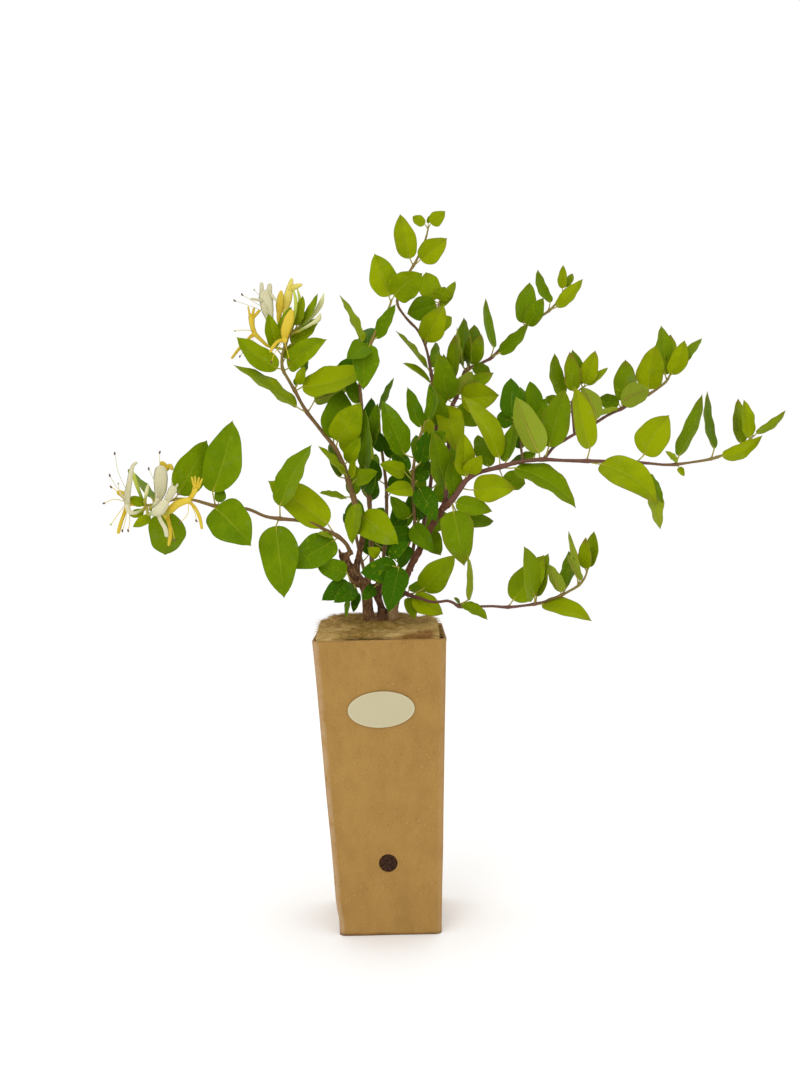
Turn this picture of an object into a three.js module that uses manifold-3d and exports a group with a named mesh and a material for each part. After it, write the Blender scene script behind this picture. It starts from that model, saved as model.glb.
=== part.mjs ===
// A potted honeysuckle vine in a tapered plain carton, in millimetres with +Z up.
// The origin is the middle of the carton's foot, and the plant's fuller side faces -Y.
import * as THREE from 'three';
import { mergeVertices } from 'three/addons/utils/BufferGeometryUtils.js';
import Module from 'manifold-3d';

const wasm = await Module();
wasm.setup();

// Driving dimensions of the carton and what is in it.
const cartonHeight = 225.2;
const cartonFoot = 78.2;
const cartonMouth = 100;
const cartonCornerRadius = 4.5;
const cartonInnerCorner = 1.2;
const cartonLean = -3.1;
const cartonWall = 1.8;
const cartonFloor = 3;
const gap = 0.3;
const drainHoleRadius = 7;
const drainHoleX = -0.3;
const drainHoleHeight = 55.9;
const labelWidth = 49.6;
const labelHeight = 27.2;
const labelThickness = 0.6;
const labelX = -2.8;
const labelCentreHeight = 173.3;
const labelTilt = 1.8;
const rootBallTop = 213.5;
const neckHoleRadius = 12.6;
const neckHoleFloor = 197.7;
const neckX = -4;
const holeSides = 28;
const cutBeyond = 5;
const fleeceCells = 8;
const fleeceEdgeInset = 0.3;
const fleeceRightInset = 4;
const fleeceRounding = 0.04;
const fleeceDetail = 0.03;
const fleeceFrontDrop = 0.7;
const fleeceCrown = 11.8;
const fleeceBack = 4.5;
const fleeceCrest = 0.35;
// Where the fleece dips from side to side: the place from -1 to 1, its reach and the share lost.
const fleeceDips = [[-1, 0.1, 0.25], [0.66, 0.2, 0.33], [1, 0.09, 0.5]];

// Driving dimensions of the plant.
const bladeThickness = 0.7;
const bladeArch = 0.07;
const bladeFold = 0.22;
const openBlade = 0.5;
const mostTurnedBlade = 0.22;
const stalkDepthShare = 0.15;
const petioleHalfWidth = 0.36;
const longLeaf = 50;
const longLeafRows = [0.14, 0.42, 0.75];
const tinyLeaf = 24;
const tinyLeafRows = [0.38];
const shortLeafRows = [0.2, 0.62];
const thinnestStem = 0.85;
const stemSides = 4;
const stemStep = 16;
const trunkSides = 8;
const limbSides = 5;
const limbRingsPerStop = 0.5;
const stubBend = 1.6;
const stubExtra = 0.3;
const ovaryRadius = 1.35;
const tubeSides = 5;
const threadRadius = 0.42;
const antherRadius = 0.8;
const throatDepth = 1;
const clearance = 0.36;
const bladeGap = 0.1;

// Places on the plant are given as seen from this stand point: x and z where the line of sight
// crosses the plane y = 0, then the depth y of the point itself on that line.
const standPoint = new THREE.Vector3(14, -856, 334);

// Old wood: the neck in the root ball, then the limbs. Each is a route of [x, z, depth, radius].
const woodLimbs = [
  [[-4, 198, 0, 10.8], [-4, 215, 0, 11.4], [-4, 231, 0, 11.4], [-4, 238.5, 0, 9]],
  [
    [-10.5, 231, -2, 5], [-10.8, 236, -3, 4.3], [-12.3, 242, -3, 4.2], [-12.5, 248, -3, 4.2],
    [-13, 254, -2, 4.1], [-15, 262, -2, 4], [-20, 267, -3, 3.9], [-25, 273, -4, 3.8],
    [-28.5, 280, -5, 3.7], [-30.5, 286, -5, 3.4],
  ],
  [[-20, 267, -1, 2.6], [-20, 275, -2, 2.4], [-18.5, 285, -2, 2.3], [-16, 295, -2, 2.2]],
  [
    [1.8, 231, -2, 4.6], [2.6, 236.5, -3, 3.8], [7, 243, -4, 3.6], [10, 250, -3, 3.3],
    [13, 255, -2, 3.3], [16, 262, -2, 3], [19, 270, -2, 2.9], [23, 278, -3, 2.9],
    [27, 285, -3, 2.8], [30, 290, -3, 2.7], [38, 305, -4, 2.5], [46, 318, -4, 2.6],
    [48.5, 321.3, -4, 2.9],
  ],
  [
    [-3, 231, 4, 6.5], [-2, 241, 3, 4.6], [-3, 249, 2, 3.8], [-3.5, 256, 1, 3.2], [-3, 262, 2, 3],
    [-3, 266, 3, 2.4],
  ],
  [[-3, 234, -3, 4.4], [-2.5, 243, -5, 3.4], [-2.5, 248, -6, 2.4]],
];
const woodKnots = [
  [-15, 262, -1, 4.6], [-20, 268, -2, 4.2], [13, 255, -3, 4.2], [45.5, 316, -5, 3.4],
  [-3, 248, -6, 3],
];

// Leafy stems. A route is [x, z, depth, radius]. A leaf is [x, z] where its stalk leaves the stem,
// [x, z] of the blade's base and of its tip, the width it shows, the tip's depth behind its base,
// the face it shows (1 upper, -1 under), its tone (0 shaded, 1 middle, 2 bright, 3 pale, 4 reddish
// young) and for some a sideways bend as a fraction of its length. The tone is a note for the
// finish alone. Forks are side shoots of the same stem.
const growth = {
  leafy_stem_left: {
    route: [
      [-25.4, 288.6, -5, 1.7], [-28, 294, -8, 1.6], [-34, 300, -11, 1.7], [-45, 306, -14, 1.4],
      [-55, 311, -17, 1.4], [-66, 313.5, -20, 1.3], [-79, 315, -24, 1.5], [-90, 317, -27, 1.2],
      [-104, 323, -31, 1.2], [-129, 326, -38, 1.4], [-146, 331, -42, 1.1], [-160, 332, -45, 1.1],
      [-172, 329, -47, 1.1], [-183, 327.5, -48, 1.3],
    ],
    leaves: [
      [-129, 326, -131, 337, -114, 392.5, 29, 6, 1, 1, 0.03],
      [-161, 331.5, -158, 336, -134, 377.5, 27, 12, 1, 1, 0.02],
      [-129, 326, -129.5, 324.5, -102, 294, 33, -14, 1, 1, -0.03],
      [-127, 326, -126.5, 329, -123.5, 340, 9, 6, 1, 0],
      [-171, 329, -168, 323, -169.5, 288.5, 28, 10, 1, 1, -0.03],
      [-178, 328, -180, 319, -194, 311, 8, -6, 1, 2],
      [-174, 329, -179, 334, -194, 355.5, 15, 16, 1, 1],
      [-180, 328, -184, 329, -197, 334, 8, 4, 1, 2],
      [-182, 327.5, -185, 323, -196, 320, 7, 3, 1, 2],
      [-79, 315, -79, 325, -53, 372, 18, 8, 1, 1, -0.06],
      [-80, 315, -82.5, 309.5, -77.5, 252.5, 30, -12, 1, 1],
      [-34, 300, -42, 310, -88, 345, 26, -8, 1, 2, 0.02],
      [-34, 300, -37, 297.5, -75, 276.5, 25, -16, 1, 0],
      [-36, 301, -39, 301, -50, 303, 4.5, -8, 1, 3],
    ],
  },
  leafy_stem_upper_left: {
    route: [
      [-14.6, 305.6, -2, 2], [-18, 317, 1, 2.1], [-21.5, 330, 4, 2.3], [-24.5, 341, 7, 2.3],
      [-29, 356, 11, 1.9], [-35, 369, 14, 1.8], [-44, 381, 18, 1.6], [-50, 389, 20, 1.5],
      [-56, 397, 22, 1.7], [-60, 404, 23, 1.3], [-65, 414, 25, 1.5], [-70, 423, 27, 1.2],
      [-74, 431, 28, 1.4], [-74, 441, 29, 1.1], [-71, 450, 30, 1.3], [-69, 457, 30, 1.6],
    ],
    leaves: [
      [-56, 397, -64, 401.5, -112, 435, 10, -10, 1, 2, 0.03],
      [-56, 397, -50, 406, -16, 422, 14, 10, -1, 1],
      [-65, 414, -59, 417, -5, 430.5, 12, -8, 1, 2, 0.03],
      [-65, 415, -64, 418, -54, 437.5, 6, 8, 1, 0],
      [-65, 415, -62.5, 419, -57, 433, 8, -8, 1, 2],
      [-74, 431, -78, 431.5, -109, 456.5, 13, -10, 1, 1, -0.05],
      [-73, 430, -69.5, 431.5, -39, 453, 17, -12, 1, 1, -0.08],
      [-74, 441, -79, 448, -84, 474, 12, 8, 1, 1],
      [-70, 453, -62, 464, -57, 487, 8, 4, 1, 2],
      [-70, 454, -60, 464, -45.5, 488.5, 10, 14, 1, 1, 0.06],
      [-71, 447, -66, 450, -45, 470, 14, 8, 1, 1],
      [-74, 437, -72, 439, -57, 456, 10, 6, 1, 2],
      [-72, 448, -75, 457, -66, 479, 11, 14, 1, 1],
      [-25, 343, -27, 349, -48, 371, 5.5, -18, 1, 2],
      [-22, 331, -28, 331, -48, 334.5, 5, -18, 1, 1],
      [-35, 369, -36, 376, -28, 414, 24, 12, 1, 0],
      [-34, 368, -33, 374, -14, 404, 24, -14, 1, 2],
      [-29, 355, -26, 358, -15, 377, 12, -14, 1, 1],
      [-26, 345, -33, 347, -39, 373, 8, 14, 1, 0],
      [-20, 325, -20.5, 325, -23.5, 293.5, 12.5, -16, 1, 1],
      [-18, 317, -15, 316, 13, 293, 25, -22, 1, 1],
      [-24, 340, -20, 344, -2, 350, 13, -18, 1, 1],
      [-25, 343, -23, 346, -20, 361, 8, -10, 1, 2],
    ],
  },
  leafy_stem_middle: {
    route: [
      [-8.3, 271.5, 6, 1.9], [-8.5, 290, 8, 1.9], [-9, 320, 10, 1.8], [-11, 350, 12, 1.7],
      [-13, 380, 14, 1.6], [-14, 405, 15, 1.5], [-14.5, 416, 15, 1.4], [-13, 428, 15, 1.4],
      [-9, 441, 16, 1.4], [-7, 445, 16, 1.6], [-4, 452, 16, 1.3], [0, 460, 17, 1.2],
      [5, 468, 17, 1.2], [9, 475, 18, 1.1], [11.5, 482, 18, 1.2],
    ],
    leaves: [
      [11, 481, 9.5, 485, -1, 518, 22, -8, 1, 2, 0.02],
      [11.5, 482, 13.5, 485, 36, 502, 25, -10, 1, 2, -0.05],
      [-8, 443, -9, 448, -24.5, 437.5, 16, -26, 1, 1],
      [-7, 445, -6, 448, -12, 413, 22, -18, 1, 1, 0.05],
      [-8, 443, -12, 451, -28.5, 487, 6, 10, 1, 2, 0.03],
      [-7, 445, -8, 448, -7.5, 460.5, 14, 26, 1, 0],
      [-4, 452, -1, 453, 14.5, 479, 6, -6, 1, 1],
      [-9, 441, -12, 440, -38.5, 425.5, 14, 12, 1, 0, -0.09],
      [-13, 372, -9, 376, -6, 407.5, 13, 14, 1, 0],
      [-14, 402, -17, 403, -22.5, 424, 12, 8, 1, 1],
      [-12, 366, -8, 370, -1, 403, 11, -2, 1, 1],
      [-11, 345, -12, 352, -11, 398, 12, -8, 1, 1],
      [-10, 330, -14, 336, -4, 349, 15, -16, 1, 0],
      [-9, 325, -7, 328, -10, 350, 14, 18, 1, 0],
      [-8, 300, -14, 303, -30, 318, 12, 14, 1, 0],
    ],
  },
  leafy_stem_top: {
    route: [
      [29.5, 292.5, 6, 1.7], [33, 310, 14, 1.6], [38, 335, 24, 1.5], [41, 360, 32, 1.5],
      [44, 385, 38, 1.4], [43, 400, 40, 1.4], [42.5, 412, 42, 1.3], [41, 424, 44, 1.4],
      [38.5, 440, 46, 1.1], [35.5, 450, 47, 1.1], [30, 460, 48, 1], [26.5, 463.5, 48, 1.2],
      [21, 470, 49, 1], [16, 479, 50, 1.2], [18, 490, 50, 1], [24, 501, 50, 1], [29, 508, 50, 1.1],
      [36, 521, 50, 0.9], [40, 532, 50, 0.9], [41, 537, 50, 1],
    ],
    leaves: [
      [41, 536, 38.5, 539.5, 29, 545.5, 8, 6, 1, 2],
      [41, 536, 43, 540, 54.5, 549, 11, -6, 1, 2],
      [41, 536.5, 41, 540, 42, 546, 3, -2, 1, 1],
      [29, 508, 26.5, 513.5, 19.5, 548, 17, -6, 1, 2, -0.02],
      [29, 508, 34.5, 512.5, 55.5, 528.5, 18, -8, 1, 2],
      [41, 424, 38.5, 429, 14, 458.5, 9.5, -10, 1, 1, 0.03],
      [42.5, 417, 40, 419, 19, 433.5, 5, -14, 1, 1, 0.05],
      [41, 425, 44, 430, 44.5, 449, 8, 14, 1, 0],
      [42, 395, 47, 398, 51, 440, 16, 12, 1, 1],
      [40, 350, 34, 354, 28, 378, 14, 16, 1, 0],
      [38, 335, 44, 340, 62, 352, 16, 22, 1, 0],
      [31, 300, 34, 302, 45.5, 283.5, 17, -6, 1, 0],
    ],
    forks: [
      {
        route: [
          [36.5, 446.5, 46.5, 0.9], [42, 458, 44, 0.9], [46, 470, 43, 0.9], [48.5, 480, 43, 0.9],
        ],
        leaves: [
          [47.5, 477, 46, 478, 23, 471, 19, 8, 1, 0],
          [47, 473, 50, 476, 61, 495.5, 8.5, 5, 1, 1],
          [48, 479, 44, 481, 38.5, 503, 17, 8, 1, 1],
          [48.5, 480, 49, 481, 53, 491.5, 14, 20, 1, 1],
          [37, 447, 37, 450, 52, 478, 20, -14, 1, 2],
          [41, 456, 43, 458, 58, 468, 12, 10, 1, 1],
        ],
      },
    ],
  },
  leafy_stem_upper_right: {
    route: [
      [50.2, 327.5, -1, 1.8], [51.5, 345, 8, 1.6], [53, 365, 20, 1.5], [54, 385, 30, 1.5],
      [56, 398, 38, 1.5], [60, 406, 42, 1.8], [64, 418, 48, 1.4], [68, 427, 52, 1.6],
      [76, 430, 56, 1.3], [82, 433, 60, 1.2], [88, 436, 64, 1.4], [95, 443, 66, 1],
      [105, 453, 68, 1], [115, 460, 70, 1.2], [123, 465, 72, 1], [133, 471, 74, 1.1],
      [138, 476, 75, 0.9], [142, 481, 76, 0.9], [144.5, 486, 77, 1],
    ],
    leaves: [
      [144, 485, 143.5, 488, 144.5, 506, 7, -3, 1, 2],
      [144.5, 486, 146.5, 489, 151.5, 499.5, 6, 6, 1, 4],
      [133, 471, 139, 474, 159.5, 495, 10, -8, 1, 2, 0.03],
      [133, 471, 134, 477.5, 125, 503, 8, 4, 1, 1, -0.08],
      [117, 461, 116.5, 460, 129, 481.5, 13, -8, 1, 1],
      [115, 460, 113, 462, 118.5, 493.5, 13.5, 5, 1, 1],
      [88, 436, 94, 439.5, 117, 462, 10.5, -12, 1, 1, 0.06],
      [88, 436, 89.8, 444, 84.5, 482, 7, 3, 1, 1, -0.05],
      [67, 426, 65, 432, 67, 467.5, 12, 10, 1, 0],
      [67, 426, 65.5, 430, 61.5, 460, 6, -6, 1, 2],
      [69, 428, 71, 433, 75, 462, 14, 16, 1, 0],
      [71, 429, 73, 431, 80.5, 454.5, 12, -3, 1, 4],
      [68, 427, 69, 431, 72, 453, 10, -10, 1, 4],
      [62, 413, 57, 420, 60, 455, 15, -4, 1, 4],
      [60, 406, 60, 408.5, 73, 426, 12, -16, -1, 3],
      [61, 410, 66, 412, 89.5, 424.5, 12, -4, 1, 4],
      [67, 426, 73, 429, 87, 425, 10, 10, 1, 0],
      [60, 406, 64, 404.5, 93.5, 407, 24, -14, 1, 2],
      [58, 402, 54, 404, 47, 441, 16, 2, 1, 1],
      [56, 398, 52, 400, 60, 362, 21, -26, 1, 2],
      [57, 400, 61, 399, 78, 384, 18, 8, 1, 1],
      [54, 380, 48, 384, 44, 412, 14, -10, 1, 1],
      [50.6, 333, 50.5, 338, 41, 381, 18, -14, 1, 1],
    ],
  },
  leafy_stem_long_right: {
    route: [
      [53.2, 324.6, -7.5, 2.2], [56.5, 328.3, -9, 2.2], [60, 333, -10.5, 2.2], [64, 339, -12, 2],
      [68, 343, -13, 1.9], [75, 347, -15, 1.8], [84, 349.5, -18, 1.6], [93, 351.5, -20, 1.9],
      [108, 355, -24, 1.4], [118, 356, -26, 1.3], [127, 356.5, -28, 1.6], [140, 355.5, -30, 1.2],
      [160, 354.5, -33, 1.5], [175, 354, -35, 1.2], [190, 353, -37, 1.1], [198, 352.5, -38, 1.4],
      [210, 351.5, -39, 1], [220, 350.3, -40, 1], [229, 350.3, -41, 1.2], [240, 351.5, -42, 0.9],
      [257, 354, -44, 1.1], [270, 358, -45, 0.9], [280, 362, -46, 1], [290, 371, -47, 0.9],
    ],
    leaves: [
      [290, 371, 292.5, 373, 315, 390.5, 6.5, -4, 1, 4, 0.08],
      [281, 363, 280, 366, 278.5, 400.5, 11, 4, 1, 4],
      [287, 368, 287.5, 370, 283, 399.5, 10, -10, 1, 2],
      [262, 355.5, 266, 356, 297, 371.5, 11.5, -14, 1, 2, 0.11],
      [257, 354, 259.5, 362, 255, 406.5, 7, 3, 1, 0, -0.06],
      [229, 350.3, 232, 357, 250.5, 404.5, 18.5, 5, 1, 1, 0.03],
      [229, 350.5, 231, 353, 221.5, 361, 4.5, -4, 1, 3],
      [230, 350.3, 232, 348, 236, 341, 5, -6, 1, 2],
      [198, 352.5, 205, 358.5, 225, 389, 25.5, -6, 1, 2, -0.05],
      [199, 352.5, 207, 343, 219.5, 320, 8, 2, 1, 0],
      [199, 352.3, 210, 338, 217, 300, 5, 8, 1, 3],
      [160, 354.5, 163, 364.5, 152, 413, 17, -10, 1, 2],
      [161, 354.5, 171, 352, 215, 320, 19, -16, 1, 2, -0.11],
      [127, 356.5, 131, 366, 144, 411, 23, 2, 1, 1],
      [124, 356.5, 123.5, 361.5, 106, 406, 21, -10, -1, 3],
      [93, 351.5, 92.5, 359, 65, 407, 16, 6, 1, 2, 0.08],
      [93, 351.5, 105, 350.5, 151.5, 318, 18, -14, 1, 1, -0.11],
      [119, 356, 120, 359.5, 100, 355, 12, 18, 1, 0],
      [62, 336, 72, 334, 105, 334.5, 22, -12, 1, 2, -0.04],
      [92, 351, 95, 343, 112.5, 338, 16, 10, 1, 1],
      [64, 339, 66, 345, 65, 379, 16, -8, 1, 2],
      [65, 340, 68, 347, 79, 361, 14, -14, 1, 2],
      [54, 326, 57, 330, 56, 360, 13, 12, 1, 0],
      [54.5, 326.5, 56, 318, 63.5, 274.5, 26, -16, 1, 1],
      [56, 328, 58, 324, 86.5, 317, 15, -6, 1, 1, -0.02],
      [54, 326, 61, 313, 87.5, 309.5, 12, 10, 1, 0, 0.03],
      [84, 349.5, 84, 352, 76, 377, 14, 18, 1, 0],
      [95, 352, 98, 356, 104, 386, 11, 18, 1, 0],
    ],
  },
  leafy_stem_right_shoot: {
    route: [
      [110.5, 357.2, -20, 1], [109, 370, 0, 1], [108, 384, 14, 1], [110, 393, 20, 1.1],
    ],
    leaves: [
      [108.5, 388, 103, 389, 102.5, 420.5, 18, 6, 1, 0],
      [110, 393, 120, 393, 117, 417.5, 13, 8, 1, 1, 0.05],
      [110, 392, 119, 387, 130, 404, 13, -4, 1, 1],
      [108, 386, 104, 386, 91, 391, 14, 12, 1, 0],
      [109, 368, 111, 366, 100, 378, 9, 10, 1, 0],
      [109, 390, 113, 396, 110, 413, 9, 18, 1, 1],
      [108.5, 375, 114, 372, 126, 390, 14, 14, 1, 1],
    ],
  },
  leafy_stem_right: {
    route: [
      [129.1, 359.3, -25, 1.3], [135, 366, -16, 1.2], [143, 371, -8, 1.2], [154, 377, 4, 1.2],
      [166, 383, 14, 1.3], [178, 390, 22, 1.1], [189, 395, 30, 1.4], [200, 401, 36, 1.1],
      [209, 405, 41, 1.3], [217, 410, 45, 1], [224, 416, 49, 1.2], [226, 420, 50, 1],
    ],
    leaves: [
      [224, 416, 222, 420, 219.5, 458, 14, 6, 1, 1, 0.03],
      [226, 420, 227, 425, 227, 451, 10, 12, 1, 4],
      [225, 418, 227, 420, 237.5, 446.5, 13, -6, 1, 2, 0.05],
      [226, 420, 233, 427, 251, 447.5, 8, 2, 1, 1, -0.02],
      [209, 405, 209, 409, 215, 443, 21, -10, 1, 2, -0.02],
      [189, 395, 187.8, 399.5, 210, 408.5, 18, -22, -1, 3, -0.06],
      [189, 395, 189.5, 400, 191.5, 432.5, 17.5, 8, 1, 1, 0.02],
      [188, 394.5, 186, 398, 170, 402.5, 12, 14, 1, 0],
      [187, 394, 184, 395.5, 166, 388.5, 4.5, -8, 1, 3],
      [166, 383, 168.5, 386.5, 157.5, 412, 16, -12, -1, 3, 0.04],
      [143, 371, 141, 376, 133, 402, 14, 8, 1, 1],
    ],
    forks: [
      {
        route: [
          [151, 375.4, 1, 1], [150, 390, 8, 0.9], [150, 401, 12, 0.9], [155, 409, 15, 0.9],
          [159, 412, 16, 1],
        ],
        leaves: [
          [158, 411.3, 157, 414, 150.5, 441, 11, 4, 1, 0],
          [159, 412, 160, 414, 168.5, 440, 12.5, -5, 1, 2],
          [159, 412, 162, 413.5, 178, 426.5, 6, -8, 1, 2],
          [153, 406, 151, 409, 148.5, 439.5, 13, -5, 1, 4],
          [150, 400, 142, 404, 137, 438.5, 11, 5, 1, 1, -0.05],
          [150, 392, 146, 395, 129, 405, 12, 10, 1, 1],
        ],
      },
    ],
  },
  leafy_stem_low_right: {
    route: [
      [17.6, 254.4, -6, 1.6], [22, 252.5, -10, 1.4], [30, 250, -16, 1.2], [37, 247.5, -22, 1.1],
      [45, 247.5, -28, 1.1], [50, 248, -31, 1.1], [55, 246, -34, 1.1], [58.5, 243.5, -36, 1.4],
      [65, 243, -38, 1], [75, 243, -41, 1], [85, 243, -44, 0.9], [97, 242, -47, 1.2],
      [110, 243, -50, 0.9], [118, 244, -52, 1.2], [125, 245.5, -54, 0.9], [132, 248, -55, 0.9],
      [138, 250, -56, 1.1], [145, 253.5, -57, 0.9], [152, 257.5, -58, 1], [155.5, 261, -58, 0.9],
      [158, 265, -58, 0.9], [159.5, 270, -58, 1],
    ],
    leaves: [
      [159.5, 270, 161, 272, 165, 300, 11, 4, 1, 1],
      [159, 269, 157.5, 271, 158.5, 295.5, 10, -6, 1, 4],
      [153, 258.5, 153.5, 262, 144.5, 282.5, 6, -10, -1, 3],
      [153, 258.5, 151.5, 264, 145.5, 300.5, 12, 6, 1, 2],
      [139, 250.5, 143, 256.5, 145, 285, 15, 5, 1, 0, 0.02],
      [138.5, 250.3, 138.5, 253, 130, 275, 10, -10, -1, 3],
      [118.5, 244, 124, 244, 162.5, 229.5, 14, -12, 1, 2, -0.08],
      [118.5, 244, 119.5, 250, 129.5, 283.5, 15, 6, 1, 1, -0.08],
      [97, 242, 101, 247.5, 126, 282.5, 23, -6, 1, 1, 0.02],
      [118, 244, 118, 251, 110.5, 289.5, 6, -14, 1, 1],
      [58.5, 243.5, 66, 248.5, 66, 284, 4.5, -8, 1, 3, 0.07],
      [58.5, 243.5, 59.5, 246.5, 55, 250.5, 3, -6, 1, 0],
      [60, 243.3, 62, 245.5, 81, 232.5, 9, -14, 1, 1, -0.05],
      [22, 252.5, 23, 251.5, 46.5, 237.5, 18, -8, 1, 2],
      [18.5, 254, 20, 257.5, 44, 261, 9, 10, 1, 0],
      [18.5, 254, 19.3, 251, 24, 233.5, 10, -10, 1, 1],
      [19, 253.8, 31, 257.5, 57, 284, 22, -16, 1, 1],
    ],
  },
  leafy_stem_centre_right: {
    route: [
      [22.3, 274.8, 4, 1.3], [23, 284, 5, 1.3], [24.5, 292, 6, 1.3], [25.5, 300, 7, 1.4],
      [25.5, 312, 8, 1.2], [25, 325, 8, 1.2], [25, 340, 7, 1.2], [26, 355, 6, 1.1],
      [29, 368, 6, 1.1], [32, 378, 7, 1.1], [35, 388, 8, 1.1],
    ],
    leaves: [
      [32, 378, 32.5, 384, 22.5, 415, 11.5, -6, 1, 1, -0.03],
      [35, 388, 37.5, 388.5, 39, 417.5, 9, 4, 1, 1, 0.1],
      [27, 360, 19, 363, 2.5, 405, 19, -10, 1, 1],
      [25, 342, 19, 349, -1, 356, 13, -18, 1, 2],
      [25, 330, 24, 336.5, 3, 335, 13, -20, 1, 2],
      [25, 330, 30, 336, 43, 310, 18, -22, 1, 0],
      [25.5, 308, 28, 311, 27, 338, 17, 14, 1, 0],
      [25.5, 302, 22.5, 302, -3, 296, 15, -14, 1, 0],
      [26, 352, 31, 356, 37, 381, 13, -10, 1, 0],
      [25.3, 318, 20, 313, 7, 331, 12, -6, 1, 1],
      [29, 368, 36, 370, 52, 380, 13, -16, 1, 1],
      [25, 346, 22, 350, 9, 367, 12, 6, 1, 0],
      [25, 340, 28, 342, 39, 357, 12, 10, 1, 0],
      [23.5, 288, 19, 292, 13.5, 273.5, 12, -10, 1, 0],
      [25, 298, 24, 307, 40, 286, 15, -8, 1, 1],
    ],
  },
  leafy_stem_centre: {
    route: [
      [0.5, 268, 12, 1.5], [1, 285, 18, 1.5], [3, 300, 24, 1.4], [4, 320, 30, 1.4],
      [4, 340, 34, 1.3], [2, 360, 37, 1.2], [0, 378, 39, 1.2], [0, 393, 40, 1],
    ],
    leaves: [
      [0, 392, 0.5, 398, 12, 422.5, 5, -8, 1, 1],
      [1, 372, 3, 366, -5, 383, 12, -10, 1, 0],
      [4, 330, 8, 334, 22, 350, 16, 10, 1, 0],
      [4, 340, -1, 343, -15, 362, 14, 10, 1, 0],
      [3, 302, 9, 306, 20, 324, 14, 14, 1, 0],
      [2.5, 355, 8, 360, 14, 384, 15, 8, 1, 0],
      [1.5, 290, -5, 294, -16, 312, 14, 16, 1, 0],
    ],
  },
  basal_shoot_left: {
    route: [
      [-20.8, 262.2, -9, 1.4], [-24, 264, -13, 1.3], [-26, 267, -15, 1.2],
    ],
    leaves: [
      [-26, 267, -28, 272, -52, 278, 17, -4, 1, 1],
      [-25, 265.5, -27, 264, -48.5, 250.5, 16, -10, 1, 0],
      [-23, 263.5, -22, 260, -39, 248.5, 13, -16, 1, 0],
      [-22, 263, -20, 256, -24, 240.5, 7, -4, 1, 0],
      [-24, 264, -27, 254, -29.5, 236, 4, -8, 1, 1],
    ],
  },
  basal_shoot_front: {
    route: [
      [-3, 262.5, -10.5, 1.4], [-2, 270, -14, 1.3], [0, 280, -17, 1.3],
    ],
    leaves: [
      [-1, 275, 11, 274, -18, 271.5, 20, -8, 1, 0],
      [0, 280, 12.5, 275, 3.5, 239.5, 17, -8, 1, 0],
      [0, 280, -3, 285, -11.5, 291, 9.5, -10, 1, 2],
      [0, 279, 5, 284, 21, 295, 11, -8, 1, 0],
      [-3, 264, -7, 260, -17, 250, 10, -12, 1, 0],
    ],
  },
  leafy_stem_rear_left: {
    route: [
      [-11, 262, 14, 1.5], [-15, 275, 30, 1.4], [-19, 293, 48, 1.3], [-22, 312, 62, 1.2],
      [-22, 332, 74, 1.1], [-19, 352, 84, 1],
    ],
    leaves: [
      [-16, 280, -11, 285, -4, 306, 17, 12, 1, 0],
      [-20, 300, -22, 306, -19, 330, 16, 12, 1, 1],
      [-20, 302, -10, 304, 2, 322, 15, 14, 1, 1],
      [-22, 325, -21, 332, -20, 356, 13, 14, 1, 1],
      [-21, 338, -14, 343, -3, 364, 16, 12, 1, 1],
      [-19, 352, -22, 362, -30, 384, 12, 8, 1, 2],
      [-19, 352, -12, 356, -7, 378, 12, 10, 1, 2],
    ],
  },
  leafy_stem_rear_right: {
    route: [
      [4.5, 261.5, 15, 1.5], [12, 275, 32, 1.4], [20, 292, 50, 1.3], [29, 312, 68, 1.2],
      [36, 332, 84, 1.1], [42, 352, 96, 1], [46, 366, 104, 1],
    ],
    leaves: [
      [13, 278, 8, 283, 5, 303, 17, 14, 1, 0],
      [24, 301, 32, 305, 52, 316, 17, 14, 1, 1],
      [23, 300, 18, 306, 14, 328, 17, 12, 1, 1],
      [33, 322, 42, 327, 58, 342, 16, 14, 1, 1],
      [33, 323, 29, 330, 26, 353, 16, 12, 1, 1],
      [41, 350, 47, 354, 62, 369, 14, 12, 1, 1],
      [46, 366, 43, 371, 37, 392, 13, 8, 1, 2],
      [46, 366, 49, 371, 58, 392, 13, 10, 1, 2],
    ],
  },
};

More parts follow.
